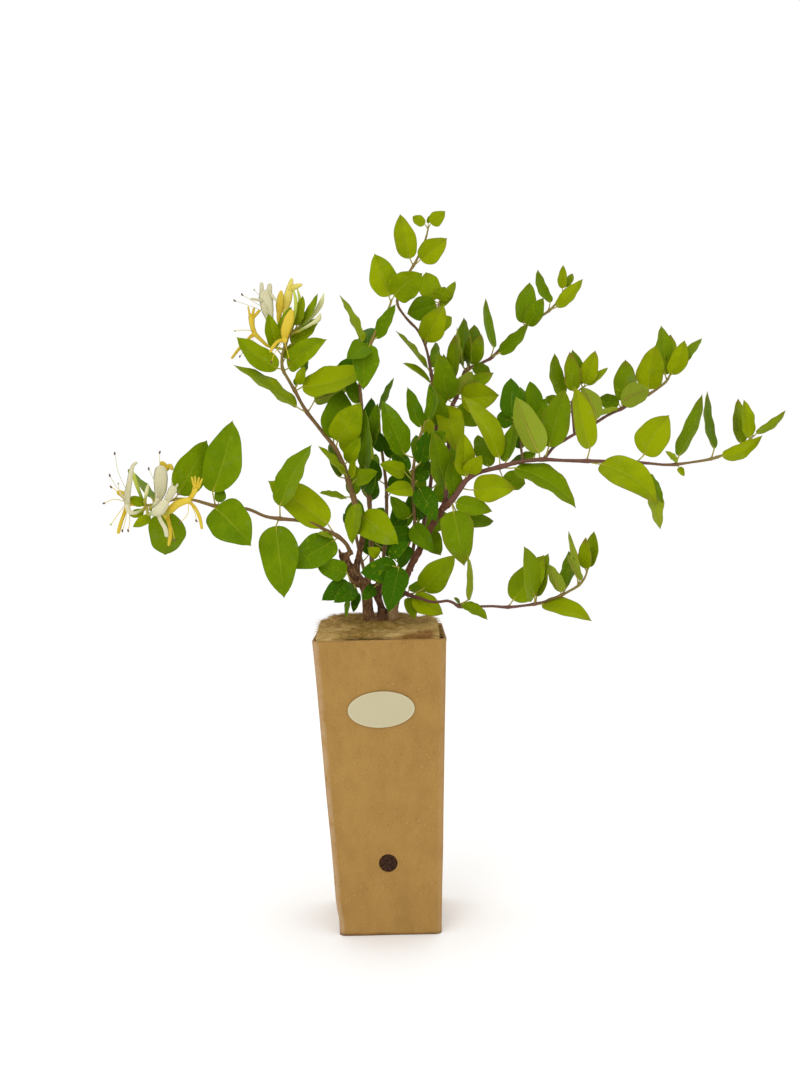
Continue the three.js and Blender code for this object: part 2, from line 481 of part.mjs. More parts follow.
// Blooms and buds. The tube is a route of [x, z, depth, radius] from the ovary to the throat,
// petals are [x, z, depth, width], and threads, the stamens and the style, are [x, z, depth].
const blooms = {
  bloom_white_broad: {
    stem: 'leafy_stem_left',
    colour: 'white',
    tube: [[-178.5, 326, -53, 1.1], [-175.5, 329, -53, 1.5], [-173, 333, -53, 2.2]],
    petals: [
      [
        [-173.5, 331.5, -53, 5], [-171.5, 339, -53, 9],
        [-171, 348, -54, 10.5], [-170.5, 358.5, -56, 8],
      ],
    ],
    threads: [
      [[-174, 334, -54], [-176, 346, -58], [-180, 356.5, -60]],
      [[-173, 334, -54], [-172, 352, -60], [-171, 369, -62]],
    ],
  },
  bloom_white_front: {
    stem: 'leafy_stem_left',
    colour: 'white',
    tube: [
      [-180.5, 321, -57, 1.2], [-177, 321.5, -59, 2.2], [-173, 323.5, -60, 4.2], [-169, 328, -60, 3.6],
      [-166.5, 331, -60, 2.2],
    ],
    petals: [
      [[-168, 329, -60, 4], [-165, 334, -61, 5], [-162, 339, -62, 6.5], [-160, 342, -63, 5]],
      [[-162, 339, -62, 2], [-162.5, 345.5, -63, 1.4]],
      [[-160.5, 340, -62, 2], [-157.5, 344, -64, 1.4]],
      [
        [-174, 322.5, -60, 3.2], [-172, 316, -61, 3],
        [-168.5, 309, -62, 3.4], [-167.5, 302.5, -63, 3],
      ],
    ],
    threads: [[[-167, 330, -61], [-163, 332, -65], [-157, 336, -70]]],
  },
  bloom_yellow_front: {
    stem: 'leafy_stem_left',
    colour: 'yellow',
    tube: [
      [-168.5, 321.5, -51, 2], [-164, 324, -52, 3], [-159, 328, -53, 3], [-152, 330.5, -54, 2.5],
      [-148, 331, -54, 2],
    ],
    petals: [
      [[-149.5, 331, -54, 3.5], [-146, 336, -55, 3.5], [-143.5, 342, -56, 5.5]],
      [[-144.8, 340, -56, 2], [-147, 349.5, -57, 1.5]],
      [[-144, 340.5, -56, 2], [-144.3, 350, -57, 1.5]],
      [[-143, 340.5, -56, 2], [-141, 349, -57, 1.5]],
      [[-142, 340, -56, 2], [-138.5, 348, -57, 1.5]],
      [
        [-149.5, 330, -54, 2.5], [-145, 325, -55, 2.4],
        [-141.5, 317, -56, 2.6], [-140, 308, -57, 2],
      ],
    ],
    threads: [
      [[-149, 330, -55], [-145, 320, -59], [-144, 314.5, -60]],
      [[-150, 330, -55], [-151, 320, -60], [-157, 313.5, -62]],
    ],
  },
  bloom_yellow_rear: {
    stem: 'leafy_stem_left',
    colour: 'yellow',
    tube: [[-176, 333, -42, 1.1], [-173, 342, -41, 1.2], [-169, 351, -40, 1.6], [-167, 356, -40, 2]],
    petals: [
      [[-167.5, 354, -40, 4], [-168.5, 359, -41, 4.5], [-171.5, 361, -43, 2.5]],
      [[-167, 355, -40, 3.5], [-163.5, 358, -41, 4], [-161.5, 354.5, -42, 2]],
    ],
    threads: [],
  },
  bloom_white_left: {
    stem: 'leafy_stem_left',
    colour: 'white',
    tube: [[-187, 324, -51, 1.1], [-192, 322, -52, 1.3], [-196, 323, -53, 1.7], [-198, 329, -54, 2.2]],
    petals: [
      [
        [-197.5, 326, -54, 3.5], [-197.5, 335, -55, 5], [-195.5, 345, -56, 4], [-194, 353, -57, 3.5],
        [-192, 359, -57, 2.5], [-188.5, 361.5, -56, 1.8],
      ],
    ],
    threads: [
      [[-198, 331, -55], [-203, 338, -62], [-204, 345.5, -64]],
      [[-198, 332, -55], [-207, 345, -62], [-210.5, 352, -64]],
      [[-197, 338, -56], [-204, 355, -64], [-206, 369, -66]],
    ],
  },
  bloom_yellow_left: {
    stem: 'leafy_stem_left',
    colour: 'yellow',
    tube: [[-187.5, 328.5, -46, 1.1], [-193, 329, -45, 1.5], [-198, 330, -45, 2.2]],
    petals: [
      [[-197, 330, -45, 4], [-200, 336, -46, 5], [-205.5, 339, -48, 3.5]],
      [
        [-197.5, 329, -45, 3], [-200.5, 321, -46, 2.6],
        [-203.5, 313, -48, 2.8], [-205.5, 306, -50, 2.4],
      ],
    ],
    threads: [
      [[-199, 329, -46], [-206, 320, -50], [-211, 313, -52]],
      [[-198, 329, -46], [-199, 318, -50], [-202, 308, -52]],
      [[-197.5, 329, -46], [-196, 317, -50], [-197.5, 308, -52]],
      [[-199, 331, -47], [-208, 333, -54], [-216, 330, -58]],
      [[-199, 332, -47], [-206, 340, -54], [-210, 343, -56]],
    ],
  },
  bloom_yellow_lower: {
    stem: 'leafy_stem_left',
    colour: 'yellow',
    tube: [[-172, 325, -46, 1.1], [-169.5, 321.5, -45, 1.8], [-166.5, 318, -45, 2.2]],
    petals: [
      [
        [-167, 319.5, -45, 3.5], [-165, 311, -46, 2.6],
        [-165, 303, -47, 3.2], [-166.5, 295.5, -48, 2],
      ],
    ],
    threads: [[[-166.5, 319, -45], [-163, 308, -50], [-161.5, 300, -52]]],
  },
  bud_green_left: {
    stem: 'leafy_stem_left',
    colour: 'green',
    tube: [[-186, 333, -44, 1.1], [-189.5, 343, -44, 1.5], [-191.5, 350, -44, 1.5], [-192, 354, -44, 0.9]],
    petals: [],
    threads: [],
  },
  bud_cream_left: {
    stem: 'leafy_stem_left',
    colour: 'cream',
    tube: [[-183.5, 332.5, -51, 1], [-182, 339, -51, 1.5], [-180.5, 344.5, -51, 0.9]],
    petals: [],
    threads: [],
  },
  bloom_white_upper: {
    stem: 'leafy_stem_upper_left',
    colour: 'white',
    tube: [[-76.5, 460, 27, 1.1], [-80, 464, 26, 1.5], [-83, 469, 25, 2.2]],
    petals: [
      [[-82.5, 467, 25, 5], [-84.5, 477, 25, 10], [-85.5, 487, 24, 11.5], [-85.8, 492, 23, 9]],
      [[-88.5, 489, 24, 4], [-88.5, 498, 22, 2.6]],
      [[-83, 489, 24, 5], [-82, 497, 22, 3.4]],
      [[-83, 490, 24, 3], [-77, 483, 23, 2]],
      [[-87, 483, 24.5, 2.4], [-92, 484.5, 22, 2.2], [-97.5, 485.5, 20, 1.8]],
    ],
    threads: [
      [[-84.5, 478, 24], [-90, 487, 12], [-94.5, 492.5, 8]],
      [[-84, 476, 24], [-95, 483, 10], [-104, 489, 6]],
      [[-84, 474, 24], [-98, 480, 10], [-110, 484.5, 6]],
    ],
  },
  bloom_yellow_upper: {
    stem: 'leafy_stem_upper_left',
    colour: 'yellow',
    tube: [[-74, 461, 33, 1.1], [-76, 468, 34, 1.6], [-75.5, 474, 34, 2.2]],
    petals: [[[-75.5, 472, 34, 4], [-75, 480, 34, 6.5], [-74, 487, 34, 5], [-73.5, 491.5, 34, 2]]],
    threads: [],
  },
  bloom_pale_upper: {
    stem: 'leafy_stem_upper_left',
    colour: 'pale_yellow',
    tube: [[-70, 462, 36, 1.1], [-71, 470, 38, 1.5], [-71, 477, 39, 2.3]],
    petals: [
      [[-71, 475, 39, 4.5], [-69, 484, 39, 7.5], [-67, 492, 39, 6], [-65, 500.5, 39, 2.5]],
      [[-68, 491, 39, 4], [-62, 494, 38, 4.5], [-57, 495.5, 37, 2]],
    ],
    threads: [],
  },
  bloom_yellow_fore: {
    stem: 'leafy_stem_upper_left',
    colour: 'yellow',
    tube: [[-71, 453.5, 25, 1.2], [-72, 453, 19, 2.2]],
    petals: [
      [[-72, 452.5, 20, 4], [-71, 460, 17, 8.5], [-68, 469, 16, 9], [-65.5, 476.5, 16, 3.5]],
      [[-72, 453.5, 20, 3], [-77, 452, 17, 3], [-81, 448, 15, 2.8], [-83.5, 443.5, 14, 2]],
    ],
    threads: [
      [[-72, 453, 20], [-70.5, 446, 14], [-68.5, 437.5, 12]],
      [[-72.5, 453, 20], [-80, 443, 12], [-82.5, 436, 11]],
    ],
  },
  bloom_yellow_side: {
    stem: 'leafy_stem_upper_left',
    colour: 'yellow',
    tube: [[-79, 447.5, 31, 1.1], [-85, 449, 30, 1.3], [-90, 453.5, 30, 1.6], [-95.5, 459, 30, 2.2]],
    petals: [
      [[-94.5, 457.5, 30, 4], [-96.5, 464, 30, 4], [-97, 470, 30, 5], [-97, 474, 30, 5]],
      [[-98, 471, 30, 2], [-99.5, 480, 29, 1.3]],
      [[-96.5, 472, 30, 2.4], [-94.5, 479, 29, 1.8]],
      [[-96, 470.5, 30, 2.6], [-90, 477, 29, 2.4]],
      [[-95, 459, 30, 3], [-100, 454.5, 29, 2.6], [-107, 447.5, 27, 2.6], [-113.5, 439.5, 25, 2]],
    ],
    threads: [
      [[-96, 461, 30], [-104, 461.5, 22], [-110.5, 461, 18]],
      [[-96, 459.5, 30], [-101, 449, 20], [-107, 441, 16]],
      [[-95.5, 459, 30], [-98, 448, 21], [-103, 442, 18]],
    ],
  },
  bud_pale_upper: {
    stem: 'leafy_stem_upper_left',
    colour: 'cream',
    tube: [
      [-63, 461, 32, 1.1], [-55, 466.5, 33, 1.4], [-47, 474.5, 34, 2], [-43, 481, 34, 2.2],
      [-40.5, 488.5, 34, 1],
    ],
    petals: [],
    threads: [],
  },
  bud_white_upper: {
    stem: 'leafy_stem_upper_left',
    colour: 'cream',
    tube: [[-59, 460.5, 24, 1.1], [-51, 465, 24, 1.4], [-45.5, 468.5, 24, 2.2], [-43.5, 473, 24, 1.2]],
    petals: [],
    threads: [],
  },
  bud_green_upper: {
    stem: 'leafy_stem_upper_left',
    colour: 'green',
    tube: [[-66, 464, 26, 1], [-63.5, 473, 28, 1.2], [-62.5, 482, 29, 1.5], [-64, 492.5, 29, 0.9]],
    petals: [],
    threads: [],
  },
  bud_green_rear: {
    stem: 'leafy_stem_upper_left',
    colour: 'green',
    tube: [[-65.5, 463, 39, 1], [-61, 474, 41, 1.2], [-59.5, 484, 41, 1.4], [-61, 492.5, 41, 0.9]],
    petals: [],
    threads: [],
  },
};

// Colours, roughness and metalness.
const finishes = {
  kraft: new THREE.MeshStandardMaterial({ color: 0xaa8246, roughness: 0.9, metalness: 0 }),
  cream: new THREE.MeshStandardMaterial({ color: 0xc8be91, roughness: 0.75, metalness: 0 }),
  peat: new THREE.MeshStandardMaterial({ color: 0x3c2314, roughness: 1, metalness: 0 }),
  fleece: new THREE.MeshStandardMaterial({ color: 0xa58c55, roughness: 1, metalness: 0 }),
  bark: new THREE.MeshStandardMaterial({ color: 0x8a7355, roughness: 0.9, metalness: 0 }),
  leaf: new THREE.MeshStandardMaterial({ color: 0x6e9600, roughness: 0.45, metalness: 0 }),
  dark_leaf: new THREE.MeshStandardMaterial({ color: 0x285a00, roughness: 0.45, metalness: 0 }),
  white: new THREE.MeshStandardMaterial({ color: 0xd7d2b4, roughness: 0.6, metalness: 0 }),
  yellow: new THREE.MeshStandardMaterial({ color: 0xe1b91e, roughness: 0.6, metalness: 0 }),
  pale_yellow: new THREE.MeshStandardMaterial({ color: 0xdcc850, roughness: 0.6, metalness: 0 }),
  green: new THREE.MeshStandardMaterial({ color: 0xaab43c, roughness: 0.6, metalness: 0 }),
};
const shadedStems = [
  'leafy_stem_centre',
  'basal_shoot_left',
  'leafy_stem_rear_left',
  'leafy_stem_rear_right',
];

function seenAt(x, z, depth) {
  const reach = (depth - standPoint.y) / (0 - standPoint.y);
  return new THREE.Vector3(x, 0, z).sub(standPoint).multiplyScalar(reach).add(standPoint);
}

function solidOf(geometry) {
  const bare = geometry.clone();
  bare.deleteAttribute('normal');
  bare.deleteAttribute('uv');
  const merged = mergeVertices(bare, 1e-4);
  return new wasm.Manifold(new wasm.Mesh({
    numProp: 3,
    vertProperties: new Float32Array(merged.attributes.position.array),
    triVerts: new Uint32Array(merged.index.array),
  }));
}

function meshOf(name, solid, material) {
  const shape = solid.getMesh();
  const geometry = new THREE.BufferGeometry();
  geometry.setAttribute('position', new THREE.BufferAttribute(new Float32Array(shape.vertProperties), 3));
  geometry.setIndex(new THREE.BufferAttribute(new Uint32Array(shape.triVerts), 1));
  geometry.computeVertexNormals();
  const mesh = new THREE.Mesh(geometry, material);
  mesh.name = name;
  return mesh;
}

function biggestBody(solid) {
  return solid.decompose().reduce((best, body) => (body.volume() > best.volume() ? body : best));
}

// Carton: a tapered block whose outline at height z is a rounded square.
function cartonSize(z) {
  return cartonFoot + (cartonMouth - cartonFoot) * (z / cartonHeight);
}

function cartonMiddle(z) {
  return cartonLean * (z / cartonHeight);
}

function taperedBlock(inset, from, to) {
  const half = cartonFoot / 2 - inset;
  const radius = Math.max(cartonCornerRadius - inset, cartonInnerCorner);
  const outline = new THREE.Shape();
  outline.moveTo(half, radius - half);
  outline.absarc(half - radius, half - radius, radius, 0, Math.PI / 2);
  outline.absarc(radius - half, half - radius, radius, Math.PI / 2, Math.PI);
  outline.absarc(radius - half, radius - half, radius, Math.PI, 1.5 * Math.PI);
  outline.absarc(half - radius, radius - half, radius, 1.5 * Math.PI, 2 * Math.PI);
  const geometry = new THREE.ExtrudeGeometry(outline, {
    depth: to - from,
    steps: 1,
    curveSegments: 2,
    bevelEnabled: false,
  });
  geometry.translate(0, 0, from);
  const places = geometry.attributes.position;
  for (let i = 0; i < places.count; i += 1) {
    const z = places.getZ(i);
    const scale = (cartonSize(z) / 2 - inset) / half;
    places.setXYZ(i, places.getX(i) * scale + cartonMiddle(z), places.getY(i) * scale, z);
  }
  return solidOf(geometry);
}

function uprightHole(x, radius, from, to) {
  const geometry = new THREE.CylinderGeometry(radius, radius, to - from, holeSides);
  geometry.rotateX(Math.PI / 2);
  geometry.translate(x, 0, (from + to) / 2);
  return solidOf(geometry);
}

function cartonSolid() {
  const drainLength = 4 * cartonWall;
  const drain = new THREE.CylinderGeometry(drainHoleRadius, drainHoleRadius, drainLength, holeSides);
  drain.translate(drainHoleX, -cartonSize(drainHoleHeight) / 2, drainHoleHeight);
  return taperedBlock(0, 0, cartonHeight)
    .subtract(taperedBlock(cartonWall, cartonFloor, cartonHeight + cutBeyond))
    .subtract(solidOf(drain));
}

// Label: a bare oval plate that lies along the carton's sloping front.
function labelSolid() {
  const outline = new THREE.Shape();
  outline.absellipse(0, 0, labelWidth / 2, labelHeight / 2, 0, 2 * Math.PI, false, 0);
  const plate = new THREE.ExtrudeGeometry(outline, {
    depth: labelThickness,
    curveSegments: 12,
    bevelEnabled: false,
  });
  const slope = Math.atan((cartonMouth - cartonFoot) / 2 / cartonHeight);
  plate.rotateZ(THREE.MathUtils.degToRad(labelTilt));
  plate.translate(0, 0, gap);
  plate.rotateX(Math.PI / 2 + slope);
  plate.translate(labelX, -cartonSize(labelCentreHeight) / 2, labelCentreHeight);
  return solidOf(plate);
}

// Root ball: fills the carton below the fleece, with a plain round hole for the plant's neck.
function rootBallSolid() {
  return taperedBlock(cartonWall + gap, cartonFloor + gap, rootBallTop)
    .subtract(uprightHole(neckX, neckHoleRadius, neckHoleFloor, rootBallTop + cutBeyond));
}

// How far the fleece stands above the carton's rim, across and along from -1 to 1: it climbs from
// the front rim to a crest behind the middle, with low ends and a dip right of the middle.
function fleeceRise(across, along) {
  const full = fleeceCrown + fleeceFrontDrop;
  const climb = (along + 1) / (fleeceCrest + 1);
  const fall = (along - fleeceCrest) / (1 - fleeceCrest);
  const crown = along < fleeceCrest
    ? Math.sin((Math.PI / 2) * climb) ** 1.2 * full
    : full - (fleeceCrown - fleeceBack) * fall ** 2;
  const kept = fleeceDips.reduce((share, [place, reach, lost]) => {
    return share - lost * Math.exp(-(((across - place) / reach) ** 2));
  }, 1);
  return crown * kept - fleeceFrontDrop;
}

// Fleece: a soft pad in the carton's mouth, mounded toward the back, with the neck through it.
function fleeceSolid() {
  const foot = cartonSize(rootBallTop) / 2 - cartonWall - fleeceEdgeInset;
  const mouth = cartonSize(cartonHeight) / 2 - cartonWall - fleeceEdgeInset;
  const geometry = new THREE.BoxGeometry(2, 2, 1, fleeceCells, fleeceCells, 1);
  const places = geometry.attributes.position;
  for (let i = 0; i < places.count; i += 1) {
    const across = places.getX(i);
    const along = places.getY(i);
    const half = places.getZ(i) > 0 ? mouth : foot;
    const narrow = across > 0 ? fleeceRightInset * across ** 4 : 0;
    const x = cartonMiddle(rootBallTop) + half * across * (1 - fleeceRounding * along ** 8) - narrow;
    const y = half * along * (1 - fleeceRounding * across ** 8);
    const top = cartonHeight + fleeceRise(across, along);
    places.setXYZ(i, x, y, places.getZ(i) > 0 ? top : rootBallTop + gap);
  }
  const neckHole = uprightHole(
    neckX,
    neckHoleRadius,
    rootBallTop - cutBeyond,
    cartonHeight + fleeceCrown + cutBeyond,
  );
  return solidOf(geometry).subtract(neckHole).simplify(fleeceDetail);
}

// A round stem along a route of { place, radius }, narrowed ring by ring.
function stemSolid(route, sides, steps) {
  const path = new THREE.CatmullRomCurve3(route.map((stop) => stop.place));
  const outline = new THREE.Shape();
  for (let side = 0; side < sides; side += 1) {
    const angle = (2 * Math.PI * side) / sides;
    const corner = [Math.cos(angle), Math.sin(angle)];
    if (side === 0) {
      outline.moveTo(...corner);
    } else {
      outline.lineTo(...corner);
    }
  }
  outline.closePath();
  const geometry = new THREE.ExtrudeGeometry(outline, { steps, extrudePath: path, bevelEnabled: false });
  const rings = [];
  for (let step = 0; step <= steps; step += 1) {
    const along = path.getUtoTmapping(step / steps) * (route.length - 1);
    const before = Math.min(Math.floor(along), route.length - 2);
    const radius = THREE.MathUtils.lerp(route[before].radius, route[before + 1].radius, along - before);
    rings.push({ place: path.getPointAt(step / steps), radius });
  }
  const places = geometry.attributes.position;
  const point = new THREE.Vector3();
  for (let i = 0; i < places.count; i += 1) {
    point.fromBufferAttribute(places, i);
    let ring = rings[0];
    rings.forEach((other) => {
      const off = Math.abs(point.distanceTo(other.place) - 1);
      if (off < Math.abs(point.distanceTo(ring.place) - 1)) {
        ring = other;
      }
    });
    point.sub(ring.place).multiplyScalar(ring.radius).add(ring.place);
    places.setXYZ(i, point.x, point.y, point.z);
  }
  return { solid: solidOf(geometry), rings };
}

function routeOf(rows, thinnest) {
  return rows.map(([x, z, depth, radius]) => ({
    place: seenAt(x, z, depth),
    radius: Math.max(radius, thinnest),
  }));
}

function stepsOf(route) {
  let length = 0;
  for (let i = 1; i < route.length; i += 1) {
    length += route[i].place.distanceTo(route[i - 1].place);
  }
  return Math.max(2, Math.round(length / stemStep));
}

// The point on a stem's middle line that is nearest to a place.
function nearestOn(rings, place) {
  let best = null;
  for (let i = 1; i < rings.length; i += 1) {
    const line = new THREE.Line3(rings[i - 1].place, rings[i].place);
    const point = line.closestPointToPoint(place, true, new THREE.Vector3());
    const distance = point.distanceTo(place);
    if (best === null || distance < best.distance) {
      best = { point, distance };
    }
  }
  return best.point;
}

// A short stub on a carrier that ends just short of the flat face where a route begins.
function stubSolid(rings, route, radius) {
  const path = new THREE.CatmullRomCurve3(route.map((stop) => stop.place));
  const start = path.getPointAt(0);
  const along = path.getTangentAt(0);
  const end = start.clone().addScaledVector(along, -gap);
  const bend = start.clone().addScaledVector(along, -gap - stubBend);
  const foot = nearestOn(rings, bend);
  const stub = [foot, bend, end].map((place) => ({ place, radius }));
  return stemSolid(stub, 4, 2).solid;
}

// A thin blade between left and right edges, split into triangles alike on both faces.
function bladeSolid(stations, tip) {
  const places = [];
  const triangles = [];
  const half = bladeThickness / 2;
  const put = (place, normal) => {
    [half, -half].forEach((offset) => {
      places.push(...place.clone().addScaledVector(normal, offset).toArray());
    });
  };
  stations.forEach(({ left, right, normal }) => {
    put(left, normal);
    put(right, normal);
  });
  const quad = (a, b, c, d) => triangles.push(a, b, c, a, c, d);
  const corner = (station, side, face) => station * 4 + side * 2 + face;
  for (let i = 1; i < stations.length; i += 1) {
    const at = (back, side, face) => corner(i - back, side, face);
    quad(at(1, 0, 0), at(1, 1, 0), at(0, 1, 0), at(0, 0, 0));
    triangles.push(at(1, 0, 1), at(0, 1, 1), at(1, 1, 1), at(1, 0, 1), at(0, 0, 1), at(0, 1, 1));
    quad(at(1, 1, 0), at(1, 1, 1), at(0, 1, 1), at(0, 1, 0));
    quad(at(1, 0, 1), at(1, 0, 0), at(0, 0, 0), at(0, 0, 1));
  }
  const last = stations.length - 1;
  const [leftTop, leftUnder, rightTop, rightUnder] = [0, 1, 2, 3].map((n) => last * 4 + n);
  if (tip) {
    put(tip.place, tip.normal);
    const top = stations.length * 4;
    triangles.push(leftTop, rightTop, top, leftUnder, top + 1, rightUnder);
    quad(rightTop, rightUnder, top + 1, top);
    quad(leftUnder, leftTop, top, top + 1);
  } else {
    quad(leftTop, rightTop, rightUnder, leftUnder);
  }
  quad(0, 1, 3, 2);
  const geometry = new THREE.BufferGeometry();
  geometry.setAttribute('position', new THREE.Float32BufferAttribute(places, 3));
  geometry.setIndex(triangles);
  return solidOf(geometry);
}

// An ovate outline: half the blade's width as a fraction of its greatest, t from base to tip.
function ovate(t) {
  const baseRound = 0.45;
  const tipTaper = 0.75;
  const widest = baseRound / (baseRound + tipTaper);
  return (t / widest) ** baseRound * ((1 - t) / (1 - widest)) ** tipTaper;
}

// A leaf's blade as seen from the stand point: foreshortened widths turn the blade on its length.
function leafFrame(row, rings, depthShift, turn) {
  const [atX, atZ, baseX, baseZ, tipX, tipZ, shownWidth, tipDepth, face] = row;
  const curve = row[10] ?? 0;
  const stalk = nearestInView(rings, atX, atZ);
  const depth = stalk.y + stalkDepthShare * (tipDepth + depthShift);
  const base = seenAt(baseX, baseZ, depth);
  const tip = seenAt(tipX, tipZ, depth + tipDepth + depthShift);
  const length = base.distanceTo(tip);
  const along = tip.clone().sub(base).normalize();
  const middle = base.clone().lerp(tip, 0.5);
  const toViewer = standPoint.clone().sub(middle).normalize();
  const facing = toViewer.addScaledVector(along, -toViewer.dot(along)).normalize();
  const sideways = along.clone().cross(facing);
  const width = (shownWidth * (middle.y - standPoint.y)) / -standPoint.y;
  const share = Math.min(Math.max(width / (openBlade * length), mostTurnedBlade), 1);
  const roll = Math.acos(share) + THREE.MathUtils.degToRad(turn);
  const uphill = sideways.z >= 0 ? 1 : -1;
  const normal = facing.clone().multiplyScalar(face * Math.cos(roll))
    .addScaledVector(sideways, uphill * Math.sin(roll));
  const side = along.clone().cross(normal);
  const halfWidth = width / share / 2;
  const slant = normal.dot(sideways);
  const pointAt = (t, q) => {
    const half = halfWidth * ovate(t);
    const bow = 4 * t * (1 - t) * length;
    return base.clone()
      .addScaledVector(along, length * t)
      .addScaledVector(normal, bladeArch * bow + bladeFold * Math.abs(q) * half)
      .addScaledVector(side, q * half)
      .addScaledVector(sideways, curve * bow - slant * (bladeArch * bow + (bladeFold * half) / 2));
  };
  return { stalk, base, tip, along, normal, side, length, pointAt };
}

// The point on a stem's middle line that is seen nearest to an x and z of the stand point's view.
function nearestInView(rings, x, z) {
  const flat = rings.map(({ place }) => {
    const reach = (0 - standPoint.y) / (place.y - standPoint.y);
    return place.clone().sub(standPoint).multiplyScalar(reach).add(standPoint);
  });
  const target = new THREE.Vector3(x, 0, z);
  let best = null;
  for (let i = 1; i < rings.length; i += 1) {
    const line = new THREE.Line3(flat[i - 1], flat[i]);
    const share = line.closestPointToPointParameter(target, true);
    const distance = line.at(share, new THREE.Vector3()).distanceTo(target);
    if (best === null || distance < best.distance) {
      best = { point: rings[i - 1].place.clone().lerp(rings[i].place, share), distance };
    }
  }
  return best.point;
}

function leafStations(frame) {
  const { stalk, base, tip, along, normal, side, length, pointAt } = frame;
  const through = base.clone().sub(stalk).normalize().add(along).normalize();
  const across = side.clone().addScaledVector(through, -side.dot(through)).normalize();
  const up = across.clone().cross(through);
  const stations = [stalk, base].map((middle) => ({
    left: middle.clone().addScaledVector(across, -petioleHalfWidth),
    right: middle.clone().addScaledVector(across, petioleHalfWidth),
    normal: up,
  }));
  const longer = length > longLeaf ? longLeafRows : shortLeafRows;
  const shares = length < tinyLeaf ? tinyLeafRows : longer;
  shares.forEach((t) => {
    stations.push({ left: pointAt(t, -1), right: pointAt(t, 1), normal });
  });
  return { rows: stations, tip: { place: tip, normal } };
}

// Petals are blades that face the stand point along a route of [x, z, depth, width].
function petalSolid(rows) {
  const centres = rows.map(([x, z, depth]) => seenAt(x, z, depth));
  const stations = rows.map((row, i) => {
    const before = centres[Math.max(i - 1, 0)];
    const after = centres[Math.min(i + 1, centres.length - 1)];
    const along = after.clone().sub(before).normalize();
    const toViewer = standPoint.clone().sub(centres[i]).normalize();
    const normal = toViewer.addScaledVector(along, -toViewer.dot(along)).normalize();
    const side = along.clone().cross(normal);
    return {
      left: centres[i].clone().addScaledVector(side, -row[3] / 2),
      right: centres[i].clone().addScaledVector(side, row[3] / 2),
      normal,
    };
  });
  return bladeSolid(stations, null);
}

// A thread starts on the nearest middle line of its flower, and thickens to its anther.
function threadSolid(rows, lines) {
  const [start, middle, end] = rows.map(([x, z, depth]) => seenAt(x, z, depth));
  const foot = lines
    .map((line) => nearestOn(line, start))
    .reduce((best, point) => (point.distanceTo(start) < best.distanceTo(start) ? point : best));
  const route = [
    { place: foot, radius: threadRadius },
    { place: middle, radius: threadRadius },
    { place: end, radius: antherRadius },
  ];
  return stemSolid(route, 3, 2).solid;
}

function bloomSolid(bloom, shift) {
  const moved = (rows) => rows.map(([x, z, depth, ...rest]) => [x, z, depth + shift, ...rest]);
  const route = routeOf(moved(bloom.tube), 0);
  let solid = stemSolid(route, tubeSides, bloom.tube.length - 1).solid;
  bloom.petals.forEach((rows) => {
    solid = solid.add(petalSolid(moved(rows)));
  });
  const [beforeMouth, mouth] = route.slice(-2).map((stop) => stop.place);
  const inward = beforeMouth.clone().sub(mouth).setLength(throatDepth);
  const tube = [...route.slice(0, -1), { place: mouth.clone().add(inward) }];
  const petals = bloom.petals.map((rows) => routeOf(moved(rows), 0));
  bloom.threads.forEach((rows) => {
    solid = solid.add(threadSolid(moved(rows), [tube, ...petals]));
  });
  return { solid: biggestBody(solid), route };
}

// Everything placed so far, with the name of the node it belongs to.
const placed = [];

function boxOf(solid) {
  const { min, max } = solid.boundingBox();
  return new THREE.Box3(new THREE.Vector3(...min), new THREE.Vector3(...max));
}

function keep(name, solid) {
  placed.push({ name, solid, box: boxOf(solid) });
}

function isClear(solid, ignore) {
  const box = boxOf(solid).expandByScalar(clearance);
  return placed.every((other) => {
    if (ignore.includes(other.name) || !box.intersectsBox(other.box)) {
      return true;
    }
    return solid.minGap(other.solid, clearance) >= clearance;
  });
}

// Carton, label, root ball, fleece and old wood.
const solids = {
  carton: cartonSolid(),
  label: labelSolid(),
  root_ball: rootBallSolid(),
  mulch_fleece: fleeceSolid(),
};
Object.entries(solids).forEach(([name, solid]) => keep(name, solid));

const woodRings = [];
let wood = null;
woodLimbs.forEach((rows, i) => {
  const sides = i === 0 ? trunkSides : limbSides;
  const limb = stemSolid(routeOf(rows, 0), sides, Math.ceil(rows.length * limbRingsPerStop));
  woodRings.push(limb.rings);
  wood = wood === null ? limb.solid : wood.add(limb.solid);
});
woodKnots.forEach(([x, z, depth, radius]) => {
  const knot = new THREE.IcosahedronGeometry(radius, 0);
  knot.translate(...seenAt(x, z, depth).toArray());
  wood = wood.add(solidOf(knot));
});

// The leafy stems start bare, each with a stub on the wood or on the stem that carries it.
const stems = {};
Object.entries(growth).forEach(([name, plan]) => {
  const route = routeOf(plan.route, thinnestStem);
  const main = stemSolid(route, stemSides, stepsOf(route));
  const forks = (plan.forks ?? []).map((fork) => {
    const forkRoute = routeOf(fork.route, thinnestStem);
    return { ...stemSolid(forkRoute, stemSides, stepsOf(forkRoute)), leaves: fork.leaves };
  });
  const solid = forks.reduce((sum, fork) => sum.add(fork.solid), main.solid);
  stems[name] = { route, rings: main.rings, solid, forks, leaves: plan.leaves };
});

